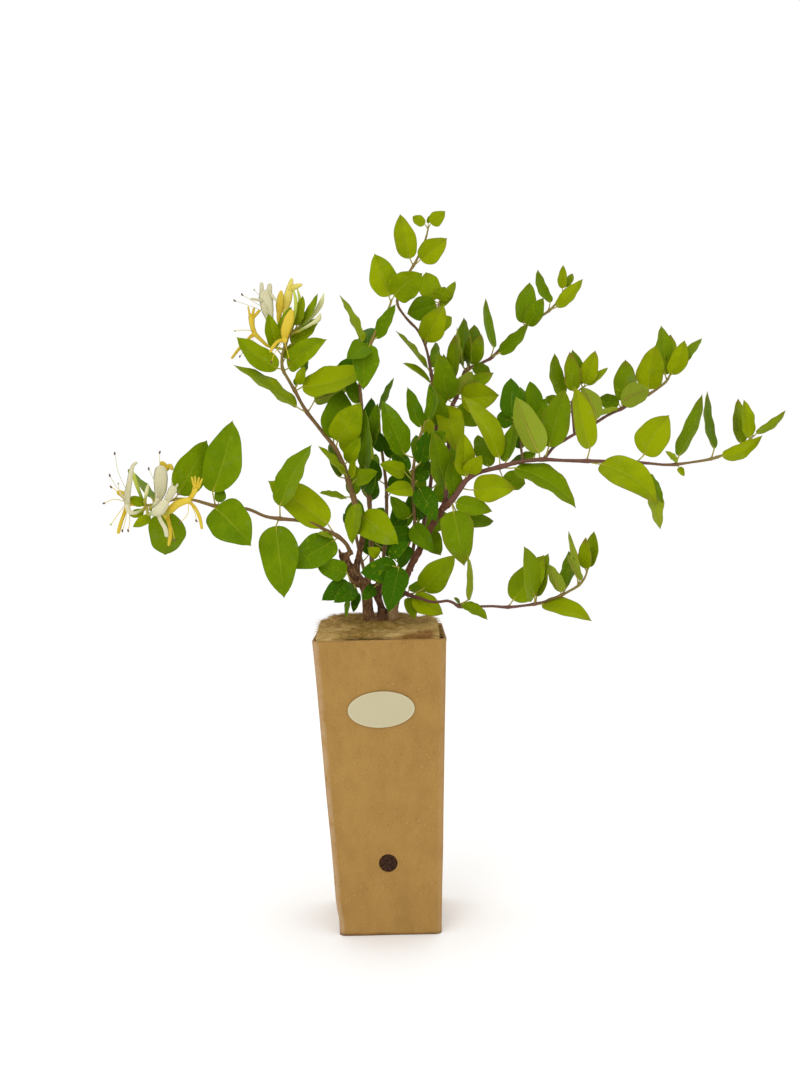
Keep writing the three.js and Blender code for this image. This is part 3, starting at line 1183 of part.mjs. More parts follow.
const carriedByStems = {
  leafy_stem_right_shoot: 'leafy_stem_long_right',
  leafy_stem_right: 'leafy_stem_long_right',
};
Object.entries(stems).forEach(([name, stem]) => {
  const stubRadius = stem.route[0].radius + stubExtra;
  const carrier = carriedByStems[name];
  if (carrier) {
    const stub = stubSolid(stems[carrier].rings, stem.route, stubRadius);
    stems[carrier].solid = stems[carrier].solid.add(stub);
  } else {
    const start = stem.route[0].place;
    const reach = (rings) => nearestOn(rings, start).distanceTo(start);
    const rings = woodRings.reduce((best, other) => (reach(other) < reach(best) ? other : best));
    wood = wood.add(stubSolid(rings, stem.route, stubRadius));
  }
});
solids.woody_base = biggestBody(wood);
keep('woody_base', solids.woody_base);
Object.entries(stems).forEach(([name, stem]) => keep(name, stem.solid));

// Each bloom goes to the first depth that is clear, and gets its ovary on the leafy stem.
const bloomShifts = [0, -3, 3, -6, 6, -9, 9, -12, 12];
Object.entries(blooms).forEach(([name, bloom]) => {
  const stem = stems[bloom.stem];
  for (const shift of bloomShifts) {
    const { solid, route } = bloomSolid(bloom, shift);
    const ovary = stubSolid(stem.rings, route, ovaryRadius);
    if (isClear(solid, []) && isClear(ovary, [bloom.stem])) {
      solids[name] = solid;
      stem.solid = stem.solid.add(ovary);
      keep(name, solid);
      keep(bloom.stem, ovary);
      break;
    }
  }
});

// Each leaf goes to the first depth and turn that is clear of the other nodes, and where it can
// of the stem and the leaves of its own node: there only stalks may cross stalks.
const depthShifts = [0, -5, 5, -10, 10, -16, 16, -24, 24, -32, 32];
const turns = [0, 20, -20];
function isApart(leaf, blade, own) {
  const touches = (one, another) => one.minGap(another, bladeGap) < bladeGap;
  return !touches(own.stem, blade)
    && own.leaves.every((other) => !touches(other.leaf, blade) && !touches(other.blade, leaf));
}

function leafPlace(name, row, rings, own) {
  let spare = null;
  for (const shift of depthShifts) {
    for (const turn of turns) {
      const stations = leafStations(leafFrame(row, rings, shift, turn));
      const leaf = bladeSolid(stations.rows, stations.tip);
      if (isClear(leaf, [name])) {
        const blade = bladeSolid(stations.rows.slice(2), stations.tip);
        if (isApart(leaf, blade, own)) {
          return { leaf, blade };
        }
        spare = spare ?? { leaf, blade };
      }
    }
  }
  return spare;
}
Object.entries(stems).forEach(([name, stem]) => {
  const shoots = [{ rings: stem.rings, leaves: stem.leaves }, ...stem.forks];
  const own = { stem: stem.solid, leaves: [] };
  shoots.forEach(({ rings, leaves }) => {
    leaves.forEach((row) => {
      const chosen = leafPlace(name, row, rings, own);
      if (chosen) {
        stem.solid = stem.solid.add(chosen.leaf);
        own.leaves.push(chosen);
        keep(name, chosen.leaf);
      }
    });
  });
  solids[name] = biggestBody(stem.solid);
});

// Colours by node: the blooms by their own colour, the rest by name.
const finishOf = {
  carton: finishes.kraft,
  label: finishes.cream,
  root_ball: finishes.peat,
  mulch_fleece: finishes.fleece,
  woody_base: finishes.bark,
};
Object.keys(growth).forEach((name) => {
  finishOf[name] = shadedStems.includes(name) ? finishes.dark_leaf : finishes.leaf;
});
Object.entries(blooms).forEach(([name, bloom]) => {
  finishOf[name] = finishes[bloom.colour];
});

const honeysuckleVine = new THREE.Group();
Object.entries(solids).forEach(([name, solid]) => {
  honeysuckleVine.add(meshOf(name, solid, finishOf[name]));
});

export default honeysuckleVine;
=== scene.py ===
import math

import bmesh
import bpy
import numpy as np
from mathutils import Matrix, Vector, noise
from mathutils.kdtree import KDTree


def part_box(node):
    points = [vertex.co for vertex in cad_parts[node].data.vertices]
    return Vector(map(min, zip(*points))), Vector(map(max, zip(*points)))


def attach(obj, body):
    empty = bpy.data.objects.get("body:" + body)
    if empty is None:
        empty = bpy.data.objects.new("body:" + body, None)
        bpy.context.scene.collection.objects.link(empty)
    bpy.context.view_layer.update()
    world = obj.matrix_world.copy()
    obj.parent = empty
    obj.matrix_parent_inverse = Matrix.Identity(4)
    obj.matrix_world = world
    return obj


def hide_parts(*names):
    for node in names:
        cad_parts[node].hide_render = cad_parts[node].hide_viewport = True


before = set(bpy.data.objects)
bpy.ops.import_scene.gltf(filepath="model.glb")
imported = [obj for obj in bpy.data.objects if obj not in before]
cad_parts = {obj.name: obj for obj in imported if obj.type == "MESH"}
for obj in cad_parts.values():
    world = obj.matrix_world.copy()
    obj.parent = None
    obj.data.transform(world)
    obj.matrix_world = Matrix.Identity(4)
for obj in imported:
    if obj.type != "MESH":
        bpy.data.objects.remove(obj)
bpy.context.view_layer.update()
print("frame loaded with", len(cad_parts), "nodes")

mm = 0.001


# Node trees: one class for a socket, one for the tree that it belongs to.
def operator(operation, swapped=False):  # a sign between a socket and what is on its other side
    return lambda self, other: self.combine(operation, other, swapped)


class Wire:
    def __init__(self, maker, socket):
        self.maker = maker
        self.socket = socket

    def combine(self, operation, other, swapped=False):
        pair = (other, self) if swapped else (self, other)
        vectors = [isinstance(v, tuple) or (isinstance(v, Wire) and v.socket.type == "VECTOR") for v in pair]
        kind = "ShaderNodeVectorMath" if any(vectors) else "ShaderNodeMath"
        values = {0: pair[0], 1: pair[1]}
        if operation == "MULTIPLY" and any(vectors) and not all(vectors):
            operation = "SCALE"
            vector, number = pair if vectors[0] else pair[::-1]
            values = {0: vector, "Scale": number}
        return self.maker.add(kind, {"operation": operation}, values)

    __add__ = operator("ADD")
    __radd__ = operator("ADD", True)
    __sub__ = operator("SUBTRACT")
    __rsub__ = operator("SUBTRACT", True)
    __mul__ = operator("MULTIPLY")
    __rmul__ = operator("MULTIPLY", True)
    __truediv__ = operator("DIVIDE")
    __pow__ = operator("POWER")
    __gt__ = operator("GREATER_THAN")
    __lt__ = operator("LESS_THAN")

    def one(self, operation):  # a Math node with a single input
        return self.maker.add("ShaderNodeMath", {"operation": operation}, {0: self})

    def ease(self, low, high):  # 0 below low, 1 above high, smooth between
        values = {"Value": self, "From Min": low, "From Max": high}
        return self.maker.add("ShaderNodeMapRange", {"interpolation_type": "SMOOTHSTEP"}, values)

    def part(self, axis):  # x, y or z of a vector
        return self.maker.add("ShaderNodeSeparateXYZ", values={0: self}, output=axis)


def findSocket(sockets, key):
    if isinstance(key, int):
        return sockets[key]
    found = [s for s in sockets if s.identifier == key] or [s for s in sockets if s.name == key and s.enabled]
    return found[0]


class NodeMaker:
    def __init__(self, tree):
        self.tree = tree
        tree.nodes.clear()

    def add(self, kind, settings=None, values=None, output=0):
        node = self.tree.nodes.new(kind)
        for name, value in (settings or {}).items():
            setattr(node, name, value)
        for key, value in (values or {}).items():
            self.feed(findSocket(node.inputs, key), value)
        return Wire(self, findSocket(node.outputs, output)) if node.outputs else None

    def feed(self, socket, value):
        if isinstance(value, (Wire, list)):  # a list puts several wires into one socket
            for wire in value if isinstance(value, list) else [value]:
                self.tree.links.new(wire.socket, socket)
        elif socket.type == "RGBA":
            socket.default_value = (*value[:3], 1.0)
        else:
            socket.default_value = value

    def mix(self, share, first, second):
        values = {"Factor_Float": share, "A_Color": first, "B_Color": second}
        return self.add("ShaderNodeMix", {"data_type": "RGBA"}, values, "Result_Color")

    def noise(self, place, scale, detail=2.0, roughness=0.5):
        values = {"Vector": place, "Scale": scale, "Detail": detail, "Roughness": roughness}
        return self.add("ShaderNodeTexNoise", values=values)

    def cells(self, place, scale, output="Distance"):
        return self.add("ShaderNodeTexVoronoi", values={"Vector": place, "Scale": scale}, output=output)

    def objectPlace(self):  # object coordinates in millimetres
        return self.add("ShaderNodeTexCoord", output="Object") * 1000.0

    def painted(self, name, output="Fac"):  # an attribute of the surface
        return self.add("ShaderNodeAttribute", {"attribute_name": name}, output=output)

    def inputs(self, kinds):  # named inputs of a geometry tree, and its geometry
        self.tree.interface.new_socket("Geometry", in_out="OUTPUT", socket_type="NodeSocketGeometry")
        for name, kind in {"Geometry": "Geometry", **kinds}.items():
            self.tree.interface.new_socket(name, in_out="INPUT", socket_type="NodeSocket" + kind)
        node = self.tree.nodes.new("NodeGroupInput")
        return {s.name: Wire(self, s) for s in node.outputs if s.name}

    def named(self, name, kind="FLOAT"):  # an attribute of the geometry
        return self.add("GeometryNodeInputNamedAttribute", {"data_type": kind}, {"Name": name})

    def store(self, geometry, name, value, domain="POINT"):
        values = {"Geometry": geometry, "Name": name, "Value": value}
        return self.add("GeometryNodeStoreNamedAttribute", {"data_type": "FLOAT", "domain": domain}, values)

    def drawn(self, low, high, seed):  # a random number or vector for each point
        kind, end = ("FLOAT_VECTOR", "") if isinstance(low, tuple) else ("FLOAT", "_001")
        values = {"Min" + end: low, "Max" + end: high, "Seed": seed}
        return self.add("FunctionNodeRandomValue", {"data_type": kind}, values, "Value" + end)

    def strewn(self, scatter, item, size, turn=None):  # an item at random points of a mesh, or upright on it
        points = self.add("GeometryNodeDistributePointsOnFaces", values=scatter)
        if turn is None:
            turn = Wire(self, findSocket(points.socket.node.outputs, "Rotation"))
        values = {"Points": points, "Instance": item, "Rotation": turn, "Scale": size}
        placed = self.add("GeometryNodeInstanceOnPoints", values=values)
        return self.add("GeometryNodeRealizeInstances", values={"Geometry": placed})

    def coated(self, geometry, material):
        return self.add("GeometryNodeSetMaterial", values={"Geometry": geometry, "Material": material})

    def moved(self, geometry, offset):
        return self.add("GeometryNodeSetPosition", values={"Geometry": geometry, "Offset": offset})

    def smoothed(self, geometry):
        return self.add("GeometryNodeSetShadeSmooth", values={"Geometry": geometry})

    def joined(self, *parts):
        return self.add("GeometryNodeJoinGeometry", values={"Geometry": list(parts)})

    def finish(self, geometry):  # make real and hand out
        real = self.add("GeometryNodeRealizeInstances", values={"Geometry": geometry})
        self.tree.links.new(real.socket, self.tree.nodes.new("NodeGroupOutput").inputs[0])
        return self.tree


def newTree(name):
    return NodeMaker(bpy.data.node_groups.new(name, "GeometryNodeTree"))


def shown(red, green, blue):  # a screen colour from 0 to 255 as a linear one
    shares = (red / 255, green / 255, blue / 255)
    return tuple(c / 12.92 if c <= 0.04045 else ((c + 0.055) / 1.055) ** 2.4 for c in shares)


def newMaterial(name):
    material = bpy.data.materials.new(name)
    material.use_nodes = True
    return material, NodeMaker(material.node_tree)


def finishMaterial(make, colour, roughness, shine=0.5, bump=None, others=None):
    values = {"Base Color": colour, "Roughness": roughness, "Specular IOR Level": shine, **(others or {})}
    if bump:  # a height, and its depth in millimetres
        relief = {"Height": bump[0], "Distance": bump[1] * mm, "Strength": 1.0}
        values["Normal"] = make.add("ShaderNodeBump", values=relief, output="Normal")
    surface = make.add("ShaderNodeBsdfPrincipled", values=values)
    make.add("ShaderNodeOutputMaterial", values={"Surface": surface})


def meshPiece(name, points, faces=(), edges=(), attributes=None):
    mesh = bpy.data.meshes.new(name)
    mesh.from_pydata([tuple(p) for p in np.asarray(points, float) * mm], list(edges), list(faces))
    kinds = {1: ("FLOAT", "value"), 2: ("FLOAT_VECTOR", "vector")}
    for title, values in (attributes or {}).items():
        values = np.asarray(values, np.float32)
        kind, field = kinds[values.ndim]
        mesh.attributes.new(title, kind, "POINT").data.foreach_set(field, values.ravel())
    if len(faces):
        mesh.polygons.foreach_set("use_smooth", [True] * len(mesh.polygons))
    mesh.update()
    piece = bpy.data.objects.new(name, mesh)
    bpy.context.scene.collection.objects.link(piece)
    return piece


def bands(count, rings, first=0):  # faces between rings of count points each
    faces = []
    for start in range(first, first + count * (rings - 1), count):
        for i in range(count):
            j = (i + 1) % count
            faces.append((start + i, start + j, start + count + j, start + count + i))
    return faces


def closedBands(count, rings):  # bands, closed on the two middle points that follow the rings
    low, high, last = count * rings, count * rings + 1, count * (rings - 1)
    faces = bands(count, rings)
    faces += [((i + 1) % count, i, low) for i in range(count)]
    return faces + [(last + i, last + (i + 1) % count, high) for i in range(count)]


def growFrom(piece, tree, values):  # run a geometry tree on a piece and keep the result as a plain mesh
    modifier = piece.modifiers.new(tree.name, "NODES")
    modifier.node_group = tree
    for item in tree.interface.items_tree:
        if item.in_out == "INPUT" and item.name in values:
            modifier[item.identifier] = values[item.name]
    bakeModifiers(piece)


def bakeModifiers(piece):
    bpy.context.view_layer.update()
    seen = bpy.context.evaluated_depsgraph_get()
    result = piece.evaluated_get(seen)
    mesh = bpy.data.meshes.new_from_object(result, preserve_all_data_layers=True, depsgraph=seen)
    piece.modifiers.clear()
    old, piece.data = piece.data, mesh
    bpy.data.meshes.remove(old)
    mesh.name = piece.name
    if len(mesh.materials) > 1 and mesh.materials[0] is None:  # the bare start mesh leaves an empty slot
        mesh.materials.pop(index=0)


def faceOutward(piece):
    skin = bmesh.new()
    skin.from_mesh(piece.data)
    bmesh.ops.recalc_face_normals(skin, faces=skin.faces)
    skin.to_mesh(piece.data)
    skin.free()


def sharpen(piece, degrees):  # smooth faces, with creases kept where they turn by more
    piece.data.polygons.foreach_set("use_smooth", [True] * len(piece.data.polygons))
    piece.data.set_sharp_from_angle(angle=math.radians(degrees))


def paint(piece, material):
    piece.data.materials.clear()
    piece.data.materials.append(material)


def place(piece, slot, *nodes):
    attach(piece, "root")
    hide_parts(*nodes)


# Camera, light and floor.
standPoint = np.array([14.0, -856.0, 334.0])
camera = {"pitch": -2.18, "roll": -1.28, "sensor": 36.0, "focalShare": 1100 / 1067}
studio = {
    "world": (1.0, 1.0, 1.0),
    "worldStrength": 1.02,
    "lights": {  # place, aim, width, watts
        "key": ((-0.55, -1.3, 1.25), (0.0, 0.0, 0.3), 0.8, 5.0),
        "fill": ((0.95, -1.0, 0.75), (0.0, 0.0, 0.3), 0.9, 1.5),
        "top": ((0.05, 0.3, 1.5), (0.0, 0.0, 0.35), 0.9, 2.2),
    },
    "floor": shown(252, 252, 252),
    "floorShade": shown(249, 249, 248),
    "floorReach": 3000,
}


def setCamera():
    pitch, roll = math.radians(camera["pitch"]), math.radians(camera["roll"])
    forward = Vector((0, math.cos(pitch), math.sin(pitch)))
    right = Vector((1, 0, 0))
    up = right.cross(forward)
    across = right * math.cos(roll) + up * math.sin(roll)
    above = up * math.cos(roll) - right * math.sin(roll)
    lens = bpy.data.cameras.new("camera")
    lens.sensor_width = camera["sensor"]
    lens.lens = camera["sensor"] * camera["focalShare"]
    lens.clip_start = 0.02
    eye = bpy.data.objects.new("camera", lens)
    bpy.context.scene.collection.objects.link(eye)
    turn = Matrix((across, above, -forward)).transposed().to_4x4()
    eye.matrix_world = Matrix.Translation(Vector(standPoint * mm)) @ turn
    bpy.context.scene.camera = eye


def setLights():
    for name, (spot, aim, width, watts) in studio["lights"].items():
        lamp = bpy.data.lights.new(name, "AREA")
        lamp.shape = "DISK"
        lamp.size = width
        lamp.energy = watts
        holder = bpy.data.objects.new(name, lamp)
        bpy.context.scene.collection.objects.link(holder)
        turn = (Vector(aim) - Vector(spot)).to_track_quat("-Z", "Y").to_matrix().to_4x4()
        holder.matrix_world = Matrix.Translation(Vector(spot)) @ turn
    world = bpy.data.worlds.new("studio")
    world.use_nodes = True
    sky = NodeMaker(world.node_tree)
    glow = {"Color": studio["world"], "Strength": studio["worldStrength"]}
    sky.add("ShaderNodeOutputWorld", values={"Surface": sky.add("ShaderNodeBackground", values=glow)})
    bpy.context.scene.world = world
    bpy.context.scene.view_settings.view_transform = "Standard"


def makeFloor():
    reach = studio["floorReach"]
    corners = [(-reach, -reach, 0), (reach, -reach, 0), (reach, reach, 0), (-reach, reach, 0)]
    floor = meshPiece("floor", corners, [(0, 1, 2, 3)])
    material, make = newMaterial("studio floor")
    grain = make.noise(make.objectPlace(), 0.02, 3.0)
    finishMaterial(make, make.mix(grain * 0.2, studio["floor"], studio["floorShade"]), 0.9)
    paint(floor, material)


setCamera()
setLights()
makeFloor()
print("camera, lights and floor set")


# Carton: kraft card walls with rounded corners, a floor and a drain hole.
carton = {
    "height": 225.2,
    "foot": 78.2,
    "mouth": 100.0,
    "lean": -3.1,
    "corner": 4.5,
    "innerCorner": 1.2,
    "wall": 1.8,
    "floor": 3.0,
    "cornerSteps": 6,
    "sideSteps": 22,
    "levels": 60,
    "innerLevels": 8,
    "footBevel": 0.9,
    "rimBevel": 0.6,
    "hole": (-0.3, 55.9),
    "holeRadius": 7.0,
    "holeSides": 48,
    "holeReach": 8,
    "dents": 0.35,
    "crush": 1.5,
    "crushPlace": (-38, -39, 9),
    "crushSpread": 90,
    "crushHeight": 9.5,
    "crease": 38,
    "card": shown(161, 124, 64),
    "cardDark": shown(140, 104, 50),
    "cardLight": shown(184, 150, 98),
    # pale card for rubbed corners, also the painted highlight on the left edges
    "edge": shown(186, 156, 124),
    # dark card for stains and the darker foot, also the painted shade along the top rim and inside the walls
    "stainAndShade": shown(96, 66, 36),
}
cartonSlope = (carton["mouth"] - carton["foot"]) / 2 / carton["height"]


def cartonSize(z):
    return carton["foot"] + (carton["mouth"] - carton["foot"]) * z / carton["height"]


def cartonMiddle(z):
    return carton["lean"] * z / carton["height"]


def cartonOutline(inset):  # unit outline of the foot, and how far each point is round a corner
    half = carton["foot"] / 2 - inset
    radius = max(carton["corner"] - inset, carton["innerCorner"])
    core = half - radius
    points, bends = [], []
    for quarter in range(4):
        start = quarter * math.pi / 2
        turn = np.array([[math.cos(start), -math.sin(start)], [math.sin(start), math.cos(start)]])
        for step in range(carton["sideSteps"]):
            points.append(turn @ [half, (step / carton["sideSteps"] * 2 - 1) * core])
            bends.append(0.0)
        for step in range(carton["cornerSteps"]):
            angle = step / carton["cornerSteps"] * math.pi / 2
            points.append(turn @ [core + radius * math.cos(angle), core + radius * math.sin(angle)])
            bends.append(math.sin(angle * 2))
    return np.array(points) / half, np.array(bends)


def cardMaterial():
    material, make = newMaterial("kraft card")
    spot = make.objectPlace()
    height = spot.part(2)
    cloud = make.noise(spot, 0.035, 3.0)
    grain = make.noise(spot * (1.0, 1.0, 2.4), 0.9, 3.0, 0.6)
    fibre = make.noise(spot * (2.6, 2.6, 0.5), 1.1, 2.0)
    patch = make.noise(spot * (1.0, 1.0, 0.5), 0.14, 3.0, 0.6)
    shade = (cloud - 0.5) * 1.2 + (grain - 0.5) * 1.5 + (patch - 0.5) * 0.9 + 0.3
    colour = make.mix(shade, carton["card"], carton["cardDark"])
    colour = make.mix(fibre.ease(0.56, 0.75) * 0.35, colour, carton["cardLight"])
    chip = make.cells(spot, 0.42, "Color")
    near = 1 - make.cells(spot, 0.42).ease(0.12, 0.26)
    colour = make.mix((chip.part(0) > 0.955) * near * 0.55, colour, carton["stainAndShade"])
    colour = make.mix((chip.part(1) > 0.93) * near * 0.6, colour, carton["cardLight"])
    # Lighter corners: rubbed wear, and a painted highlight that is stronger on the left, where the light
    # falls.
    rubbedAndLitEdge = make.painted("bend") * make.noise(spot, 0.12, 3.0).ease(0.25, 0.6)
    rubbedAndLitEdge = rubbedAndLitEdge * (0.6 - spot.part(0).ease(0.0, 20.0) * 0.4)
    colour = make.mix(rubbedAndLitEdge, colour, carton["edge"])
    # Darker towards the bottom.
    darkFoot = 1 - (height + make.noise(spot * (1.0, 1.0, 0.1), 0.06, 2.0) * 3.0).ease(2.0, 4.4)
    colour = make.mix(darkFoot * 0.75, colour, carton["stainAndShade"])
    # Darker along the top rim: painted shade where the fleece meets the card.
    rim = (height + make.noise(spot, 0.09, 2.0) * 3.0).ease(225.4, 226.6)
    colour = make.mix(rim * 0.25, colour, carton["stainAndShade"])
    # The inner walls darker: painted shade inside the carton.
    colour = make.mix(make.painted("inside") * 0.3, colour, carton["stainAndShade"])
    relief = grain * 0.6 + fibre * 0.4 + make.noise(spot, 0.05, 2.0) * 2.0
    finishMaterial(make, colour, grain * 0.12 + 0.76, 0.25, (relief, 0.16))
    return material


def dentCard(points, outside):  # small dents, and a crushed corner at the lower left of the front
    cornerX, cornerY, cornerZ = carton["crushPlace"]
    for i in outside:
        x, y, z = points[i]
        if z > carton["height"] - 1 or z < 0.2:
            continue
        dent = noise.noise(Vector((x * 0.03, y * 0.03, z * 0.022))) * carton["dents"] - carton["dents"]
        side = np.array([x - cartonMiddle(z), y])
        points[i, :2] += side / np.linalg.norm(side) * dent
        near = math.exp(-((x - cornerX) ** 2 + (y - cornerY) ** 2) / carton["crushSpread"])
        near *= math.exp(-((z - cornerZ) / carton["crushHeight"]) ** 2)
        points[i, 0] += carton["crush"] * near
        points[i, 1] += carton["crush"] * 0.5 * near


def drillHole(piece):
    x, z = carton["hole"]
    count, radius, front = carton["holeSides"], carton["holeRadius"], -cartonSize(z) / 2
    angles = np.arange(count) * 2 * math.pi / count
    circle = [(x + radius * math.cos(a), z + radius * math.sin(a)) for a in angles]
    reach = carton["holeReach"]
    points = [(atX, front + y, atZ) for y in (-reach, reach) for atX, atZ in circle]
    ends = [tuple(range(count - 1, -1, -1)), tuple(range(count, 2 * count))]
    drill = meshPiece("drill", points, bands(count, 2) + ends)
    faceOutward(drill)
    cut = piece.modifiers.new("drain hole", "BOOLEAN")
    cut.operation, cut.solver, cut.object = "DIFFERENCE", "EXACT", drill
    bakeModifiers(piece)
    bpy.data.objects.remove(drill)


def makeCarton():
    outer, bends = cartonOutline(0.0)
    inner, _ = cartonOutline(carton["wall"])
    count, wall, top, bevel = len(outer), carton["wall"], carton["height"], carton["rimBevel"]
    points, inside, bent = [], [], []

    def ring(outline, z, inset, within):
        half = cartonSize(z) / 2 - inset
        points.extend((x * half + cartonMiddle(z), y * half, z) for x, y in outline)
        inside.extend([within] * count)
        bent.extend(bends * (0.0 if within else 1.0))

    ring(outer, 0.0, carton["footBevel"], 0)
    for level in range(carton["levels"] + 1):
        ring(outer, 0.5 + (top - 1.2) * level / carton["levels"], 0.0, 0)
    ring(outer, top - 0.15, 0.25, 0)
    ring(outer, top, bevel, 0.4)
    ring(inner, top, wall - bevel, 0.6)
    ring(inner, top - 0.5, wall, 1)
    for level in range(1, carton["innerLevels"] + 1):
        ring(inner, top - 0.5 - (top - 0.5 - carton["floor"]) * level / carton["innerLevels"], wall, 1)
    faces = closedBands(count, len(points) // count)
    outside = [i for i, within in enumerate(inside) if within <= 0.5]
    points = np.array(points + [(0, 0, 0), (0, 0, carton["floor"])])
    dentCard(points, outside)
    marks = {"inside": inside + [0, 1], "bend": bent + [0, 0]}
    piece = meshPiece("carton_card", points, faces, attributes=marks)
    drillHole(piece)
    sharpen(piece, carton["crease"])
    paint(piece, cardMaterial())
    place(piece, "kraft_board", "carton")


# Label: a bare oval of cream paper that follows the slope of the front.
label = {
    "width": 49.6,
    "height": 27.2,
    "thickness": 0.6,
    "lift": 0.3,
    "curl": 0.03,
    "place": (-2.8, 173.3),
    "tilt": 1.8,
    "sides": 72,
    "crease": 35,
    "paper": shown(184, 174, 140),
    "paperEdge": shown(190, 181, 148),
    "paperShade": shown(176, 164, 124),
}


def paperMaterial():
    material, make = newMaterial("label paper")
    spot = make.objectPlace()
    grain = make.noise(spot, 1.4, 3.0, 0.6)
    cloud = make.noise(spot, 0.06, 2.0)
    colour = make.mix(make.painted("rim").ease(0.9, 0.98), label["paper"], label["paperEdge"])
    colour = make.mix((grain * 0.5 + cloud * 0.5).ease(0.35, 0.75) * 0.3, colour, label["paperShade"])
    finishMaterial(make, colour, grain * 0.1 + 0.5, 0.35, (grain, 0.05))
    return material


def makeLabel():
    turn = Matrix.Rotation(math.pi / 2 + math.atan(cartonSlope), 3, "X")
    tilt = Matrix.Rotation(math.radians(label["tilt"]), 3, "Z")
    x, z = label["place"]
    start = Vector((x, -cartonSize(z) / 2, z))
    count, thick, lift = label["sides"], label["thickness"], label["lift"]
    halfWidth, halfHeight = label["width"] / 2, label["height"] / 2
    levels = [(0.985, 0.0), (1.0, 0.12), (1.0, thick - 0.15), (0.992, thick), (0.9, thick), (0.5, thick)]
    points, rims = [], []
    for share, rise in levels:
        for i in range(count):
            angle = 2 * math.pi * i / count
            flat = Vector((halfWidth * share * math.cos(angle), halfHeight * share * math.sin(angle), 0))
            curl = label["curl"] * (flat.x / halfWidth) ** 2
            flat = tilt @ flat
            points.append(start + turn @ Vector((flat.x, flat.y, lift + rise - curl)))
            rims.append(share)
    points += [start + turn @ Vector((0, 0, lift)), start + turn @ Vector((0, 0, lift + thick))]
    rims += [0, 0]
    piece = meshPiece("label_paper", points, closedBands(count, len(levels)), attributes={"rim": rims})
    sharpen(piece, label["crease"])
    paint(piece, paperMaterial())
    place(piece, "label_paper", "label")


# Root ball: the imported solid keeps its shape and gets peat, with crumbs where the drain hole shows it.
peat = {
    "dark": shown(44, 26, 16),
    "light": shown(92, 62, 42),
    "crumbs": 0.05,
    "crumbSize": 0.9,
    "gap": 0.35,
    "patchSides": 16,
    "patchRadii": (3.2, 6.3),
    "seed": 4,
}


def peatMaterial():
    material, make = newMaterial("moist peat")
    spot = make.objectPlace()
    lumps = make.noise(spot, 0.45, 4.0, 0.65)
    grit = make.cells(spot, 0.7)
    colour = make.mix(lumps.ease(0.38, 0.7), peat["dark"], peat["light"])
    finishMaterial(make, colour, lumps * 0.15 + 0.82, 0.2, (lumps - grit * 0.6, 1.2))
    return material


def crumbTree():
    make = newTree("crumbs")
    given = make.inputs({"Density": "Float", "Size": "Float", "Seed": "Int", "Material": "Material"})
    size, seed = given["Size"], given["Seed"]
    crumb = make.add("GeometryNodeMeshIcoSphere", values={"Radius": size, "Subdivisions": 1})
    bump = make.noise(make.add("GeometryNodeInputPosition"), 900.0, 1.0)
    crumb = make.moved(crumb, make.add("GeometryNodeInputNormal") * (bump * size - size * 0.6))
    scatter = {"Mesh": given["Geometry"], "Density": given["Density"], "Seed": seed}
    turn = make.drawn((0.0, 0.0, 0.0), (6.0, 6.0, 6.0), seed)
    grains = make.strewn(scatter, crumb, make.drawn(0.4, 1.2, 9), turn)
    return make.finish(make.coated(grains, given["Material"]))


def makeCrumbs(soil):  # loose crumbs in the drain hole
    x, z = carton["hole"]
    front = -cartonSize(z) / 2 + carton["wall"] + peat["gap"]
    count = peat["patchSides"]
    points = [(x, front, z)]
    for radius in peat["patchRadii"]:
        for angle in np.arange(count) * 2 * math.pi / count:
            y = front - cartonSlope * radius * math.sin(angle)
            points.append((x + radius * math.cos(angle), y, z + radius * math.sin(angle)))
    faces = [(0, 1 + (i + 1) % count, 1 + i) for i in range(count)] + bands(count, 2, 1)
    piece = meshPiece("peat_crumbs", points, faces)
    values = {"Density": peat["crumbs"] * 1e7, "Size": peat["crumbSize"] * mm}
    growFrom(piece, crumbTree(), {**values, "Seed": peat["seed"], "Material": soil})
    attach(piece, "root")


def makeSoil():
    soil = peatMaterial()
    paint(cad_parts["root_ball"], soil)
    makeCrumbs(soil)


# Fleece: a matted pad in the carton's mouth, mounded at the back, with loose fibres on it.
fleece = {
    "ballTop": 213.5,
    "cells": 110,
    "crown": 11.8,
    "crownPlace": 0.35,
    "frontDrop": 0.3,
    "back": 4.5,
    "falls": [(0.42, -1, 0.17), (0.33, 0.66, 0.2), (0.5, 1, 0.09)],  # share, place across and reach
    "edgeInset": 0.3,
    "rightInset": 3.0,
    "lumps": 1.2,
    "fineLumps": 0.28,
    "ridge": 1.8,  # near the front rim, with its place along, its slant and its reach
    "ridgePlace": -0.86,
    "ridgeSlant": 0.16,
    "ridgeReach": 0.05,
    "square": 0.02,
    "underlap": 0.3,
    "fibreDensity": 0.55,
    "fibreLength": 4.2,
    "fibreWidth": 0.07,
    "fibreCurl": 0.9,
    "fill": 0.4,
    "seed": 11,
    "tan": shown(172, 138, 74),
    # moss green-brown for the middle, also the painted shade in hollows
    "mossAndHollowShade": shown(122, 92, 18),
    # rust brown for a clump on the left crest, also the painted shade below the front fold
    "rustAndShade": shown(122, 76, 30),
    "pale": shown(204, 174, 112),
    # dark brown for the painted shadow in the gap at the front rim
    "gapShadow": shown(70, 48, 24),
}


def fleeceRise(across, along):
    full, peak = fleece["crown"] + fleece["frontDrop"], fleece["crownPlace"]
    if along < peak:
        crown = math.sin(math.pi / 2 * max(along + 1, 0) / (1 + peak)) ** 1.2 * full
    else:
        crown = full - (fleece["crown"] - fleece["back"]) * ((along - peak) / (1 - peak)) ** 2
    share = 1.0
    for fall, place, reach in fleece["falls"]:
        share -= fall * math.exp(-(((across - place) / reach) ** 2))
    return crown * share - fleece["frontDrop"]


